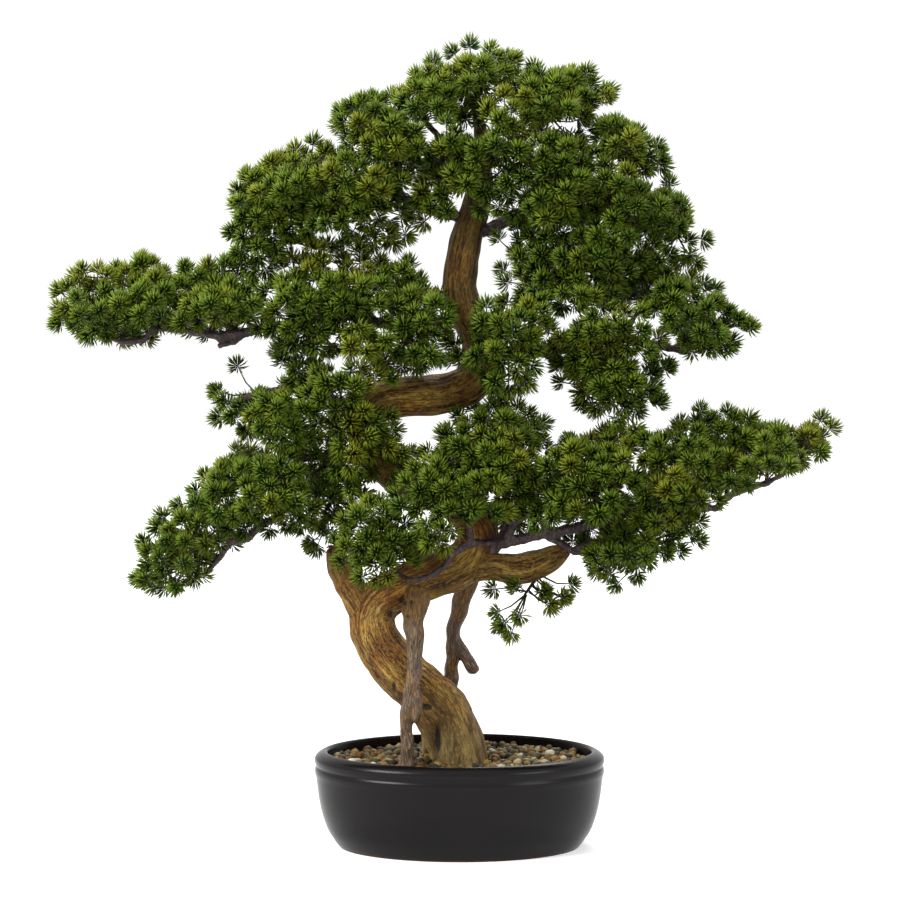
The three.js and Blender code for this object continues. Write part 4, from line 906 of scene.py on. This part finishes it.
# one spray: the tufts read from it, the closing ones and those forked from both, on their stems and core
def buildSpray(node, closing, taken, rng, material):
    middles, axes, feet, corners = readSpray(frame["nodes"][node])
    core = coreLine(corners, trunkPaths)
    if len(closing):
        root = nearestOnLine(closing, core)
        middles, feet = np.vstack([middles, closing]), np.vstack([feet, root])
        axes = np.vstack([axes, unit(unit(closing - root) + np.array([0, 0, 0.5]))])
    spacing = looseSprays.get(node, foliage["spacing"])
    extra, ways, starts, taken = forkedTufts(middles, axes, feet, core, spacing, taken, rng)
    allMiddles = np.vstack([middles, extra])
    allAxes = np.vstack([axes, ways])
    allStarts = np.vstack([feet, starts])
    allStarts[:len(feet)] = 0.6 * feet + 0.4 * nearestOnLine(feet, core)
    low = allMiddles - allAxes * foliage["budLength"]
    length = np.linalg.norm(low - allStarts, axis=1, keepdims=True)
    bends = low - allAxes * 0.35 * length
    old, forked, thin = foliage["stemRadius"]
    thick = np.concatenate([np.full(len(middles), old), np.full(len(extra), forked)])
    ends = allMiddles + allAxes
    stems, stemTriangles = stemTubes(allStarts, bends, ends, thick, np.full(len(thick), thin))
    coreEnds = [core[:1], core.mean(0, keepdims=True), core[1:]]
    coreSkin, coreTriangles = stemTubes(*coreEnds, *np.array(foliage["coreRadius"])[:, None])
    blades, bladeTriangles, along = needleBlades(allMiddles, allAxes, rng)
    points, triangles = stacked([(stems.reshape(-1, 3), stemTriangles),
                                 (coreSkin.reshape(-1, 3), coreTriangles), (blades, bladeTriangles)])
    piece = meshPiece(node.replace("spray", "needles"), points, triangles)
    count, perTuft, woody = len(allMiddles), foliage["perTuft"], -1.0
    tone = 0.5 + 0.22 * waves(allMiddles, 70, 31) + 0.2 * rng.normal(size=count)
    ringTone = np.repeat(np.linspace(0.9, 0.0, foliage["stemRings"]), foliage["stemSides"])
    stemTone = np.tile(ringTone, count)
    needleTone = np.repeat(rng.random(count * perTuft), 4)
    paint(piece, "leaf", np.vstack([
        np.stack([np.full(len(stemTone), woody), np.repeat(tone, len(ringTone)), stemTone], 1),
        np.tile([woody, 0.0, 1.0], (coreSkin.shape[1], 1)),
        np.stack([along, np.repeat(tone, perTuft * 4), needleTone], 1),
    ]))
    dress(piece, material)
    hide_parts(node)
    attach(piece, "root")
    return count, taken


# every spray in turn, and each closing tuft in the spray with the nearest tuft
def buildFoliage():
    rng = np.random.default_rng(foliage["seed"])
    material = newMaterial("waxy_pine_needles", pineNeedles)
    names = [name for name in sorted(frame["nodes"]) if name.startswith("spray")]
    planned = [readSpray(frame["nodes"][name])[0] for name in names]
    owner = np.repeat(np.arange(len(names)), [len(middles) for middles in planned])
    taken = np.vstack(planned)
    closing = np.array(closingTufts, float)
    nearest = owner[np.linalg.norm(closing[:, None] - taken[None], axis=-1).argmin(1)]
    taken = np.vstack([taken, closing])
    total = 0
    for i, name in enumerate(names):
        count, taken = buildSpray(name, closing[nearest == i], taken, rng, material)
        total += count
    print(len(owner), "buds read from the construction,", total, "tufts in all")


buildFoliage()
print("needles built")


# Floor and light

studio = {
    "floorSize": 9,              # metres
    "paper": "#f7f7f6",          # the floor as the camera sees it
    "paperInRoom": "#8c8c8a",    # the floor as it lights the tree from below
    "paperGlow": 0.5,
    "backdrop": 1.07,            # the room's white as the camera sees it
    "roomLight": 0.5,            # the same as it lights the tree
    "lamps": {                   # place in metres, size in metres, watts
        "key": ((-1.95, -1.5, 1.75), 1.1, 68),
        "fill": ((2.6, -2.3, 1.4), 1.5, 27),
        "back": ((0.5, 2.0, 3.0), 1.6, 56),
    },
}


def seenWhite(tree):  # 1 for rays from the camera and for mirrored ones, 0 for diffuse light
    path = addNode(tree, "LightPath")
    rays = {0: path.outputs["Is Camera Ray"], 1: path.outputs["Is Glossy Ray"]}
    return addNode(tree, "Math", rays, operation="MAXIMUM").outputs[0]


# matt white paper, whiter to the camera than in the light that it gives the tree
def whitePaper(tree):
    seen = seenWhite(tree)
    color = addNode(tree, "Mix", {0: seen, 6: linearColor(studio["paperInRoom"]),
                                  7: linearColor(studio["paper"])}, data_type="RGBA").outputs[2]
    glow = addNode(tree, "Math", {0: seen, 1: studio["paperGlow"]}, operation="MULTIPLY").outputs[0]
    return {"Base Color": color, "Roughness": 0.9, "Specular IOR Level": 0.0,
            "Emission Color": (1, 1, 1, 1), "Emission Strength": glow}


# a square floor, a room that is white all round, and square lamps aimed at the tree
def buildStudio():
    half = studio["floorSize"] / 2 / mm
    corners = np.array([[-half, -half, 0], [half, -half, 0], [half, half, 0], [-half, half, 0]])
    floor = meshPiece("floor", corners, np.array([[0, 1, 2], [0, 2, 3]]))
    floor.data.materials.append(newMaterial("matt_white_paper", whitePaper))
    world = bpy.data.worlds.new("studio")
    world.use_nodes = True
    tree = world.node_tree
    seen = seenWhite(tree)
    strength = addNode(tree, "MapRange", {0: seen, 3: studio["roomLight"], 4: studio["backdrop"]})
    tree.links.new(strength.outputs[0], tree.nodes["Background"].inputs["Strength"])
    tree.nodes["Background"].inputs["Color"].default_value = (1, 1, 1, 1)
    scene.world = world
    for name, (place, size, power) in studio["lamps"].items():
        data = bpy.data.lights.new(name, "AREA")
        data.shape = "SQUARE"
        data.size = size
        data.energy = power
        lamp = bpy.data.objects.new(name, data)
        lamp.location = place
        lamp.rotation_euler = (Vector((0, 0, 0.3)) - Vector(place)).to_track_quat("-Z", "Y").to_euler()
        scene.collection.objects.link(lamp)


buildStudio()
scene.view_settings.view_transform = "Standard"
print("studio set")
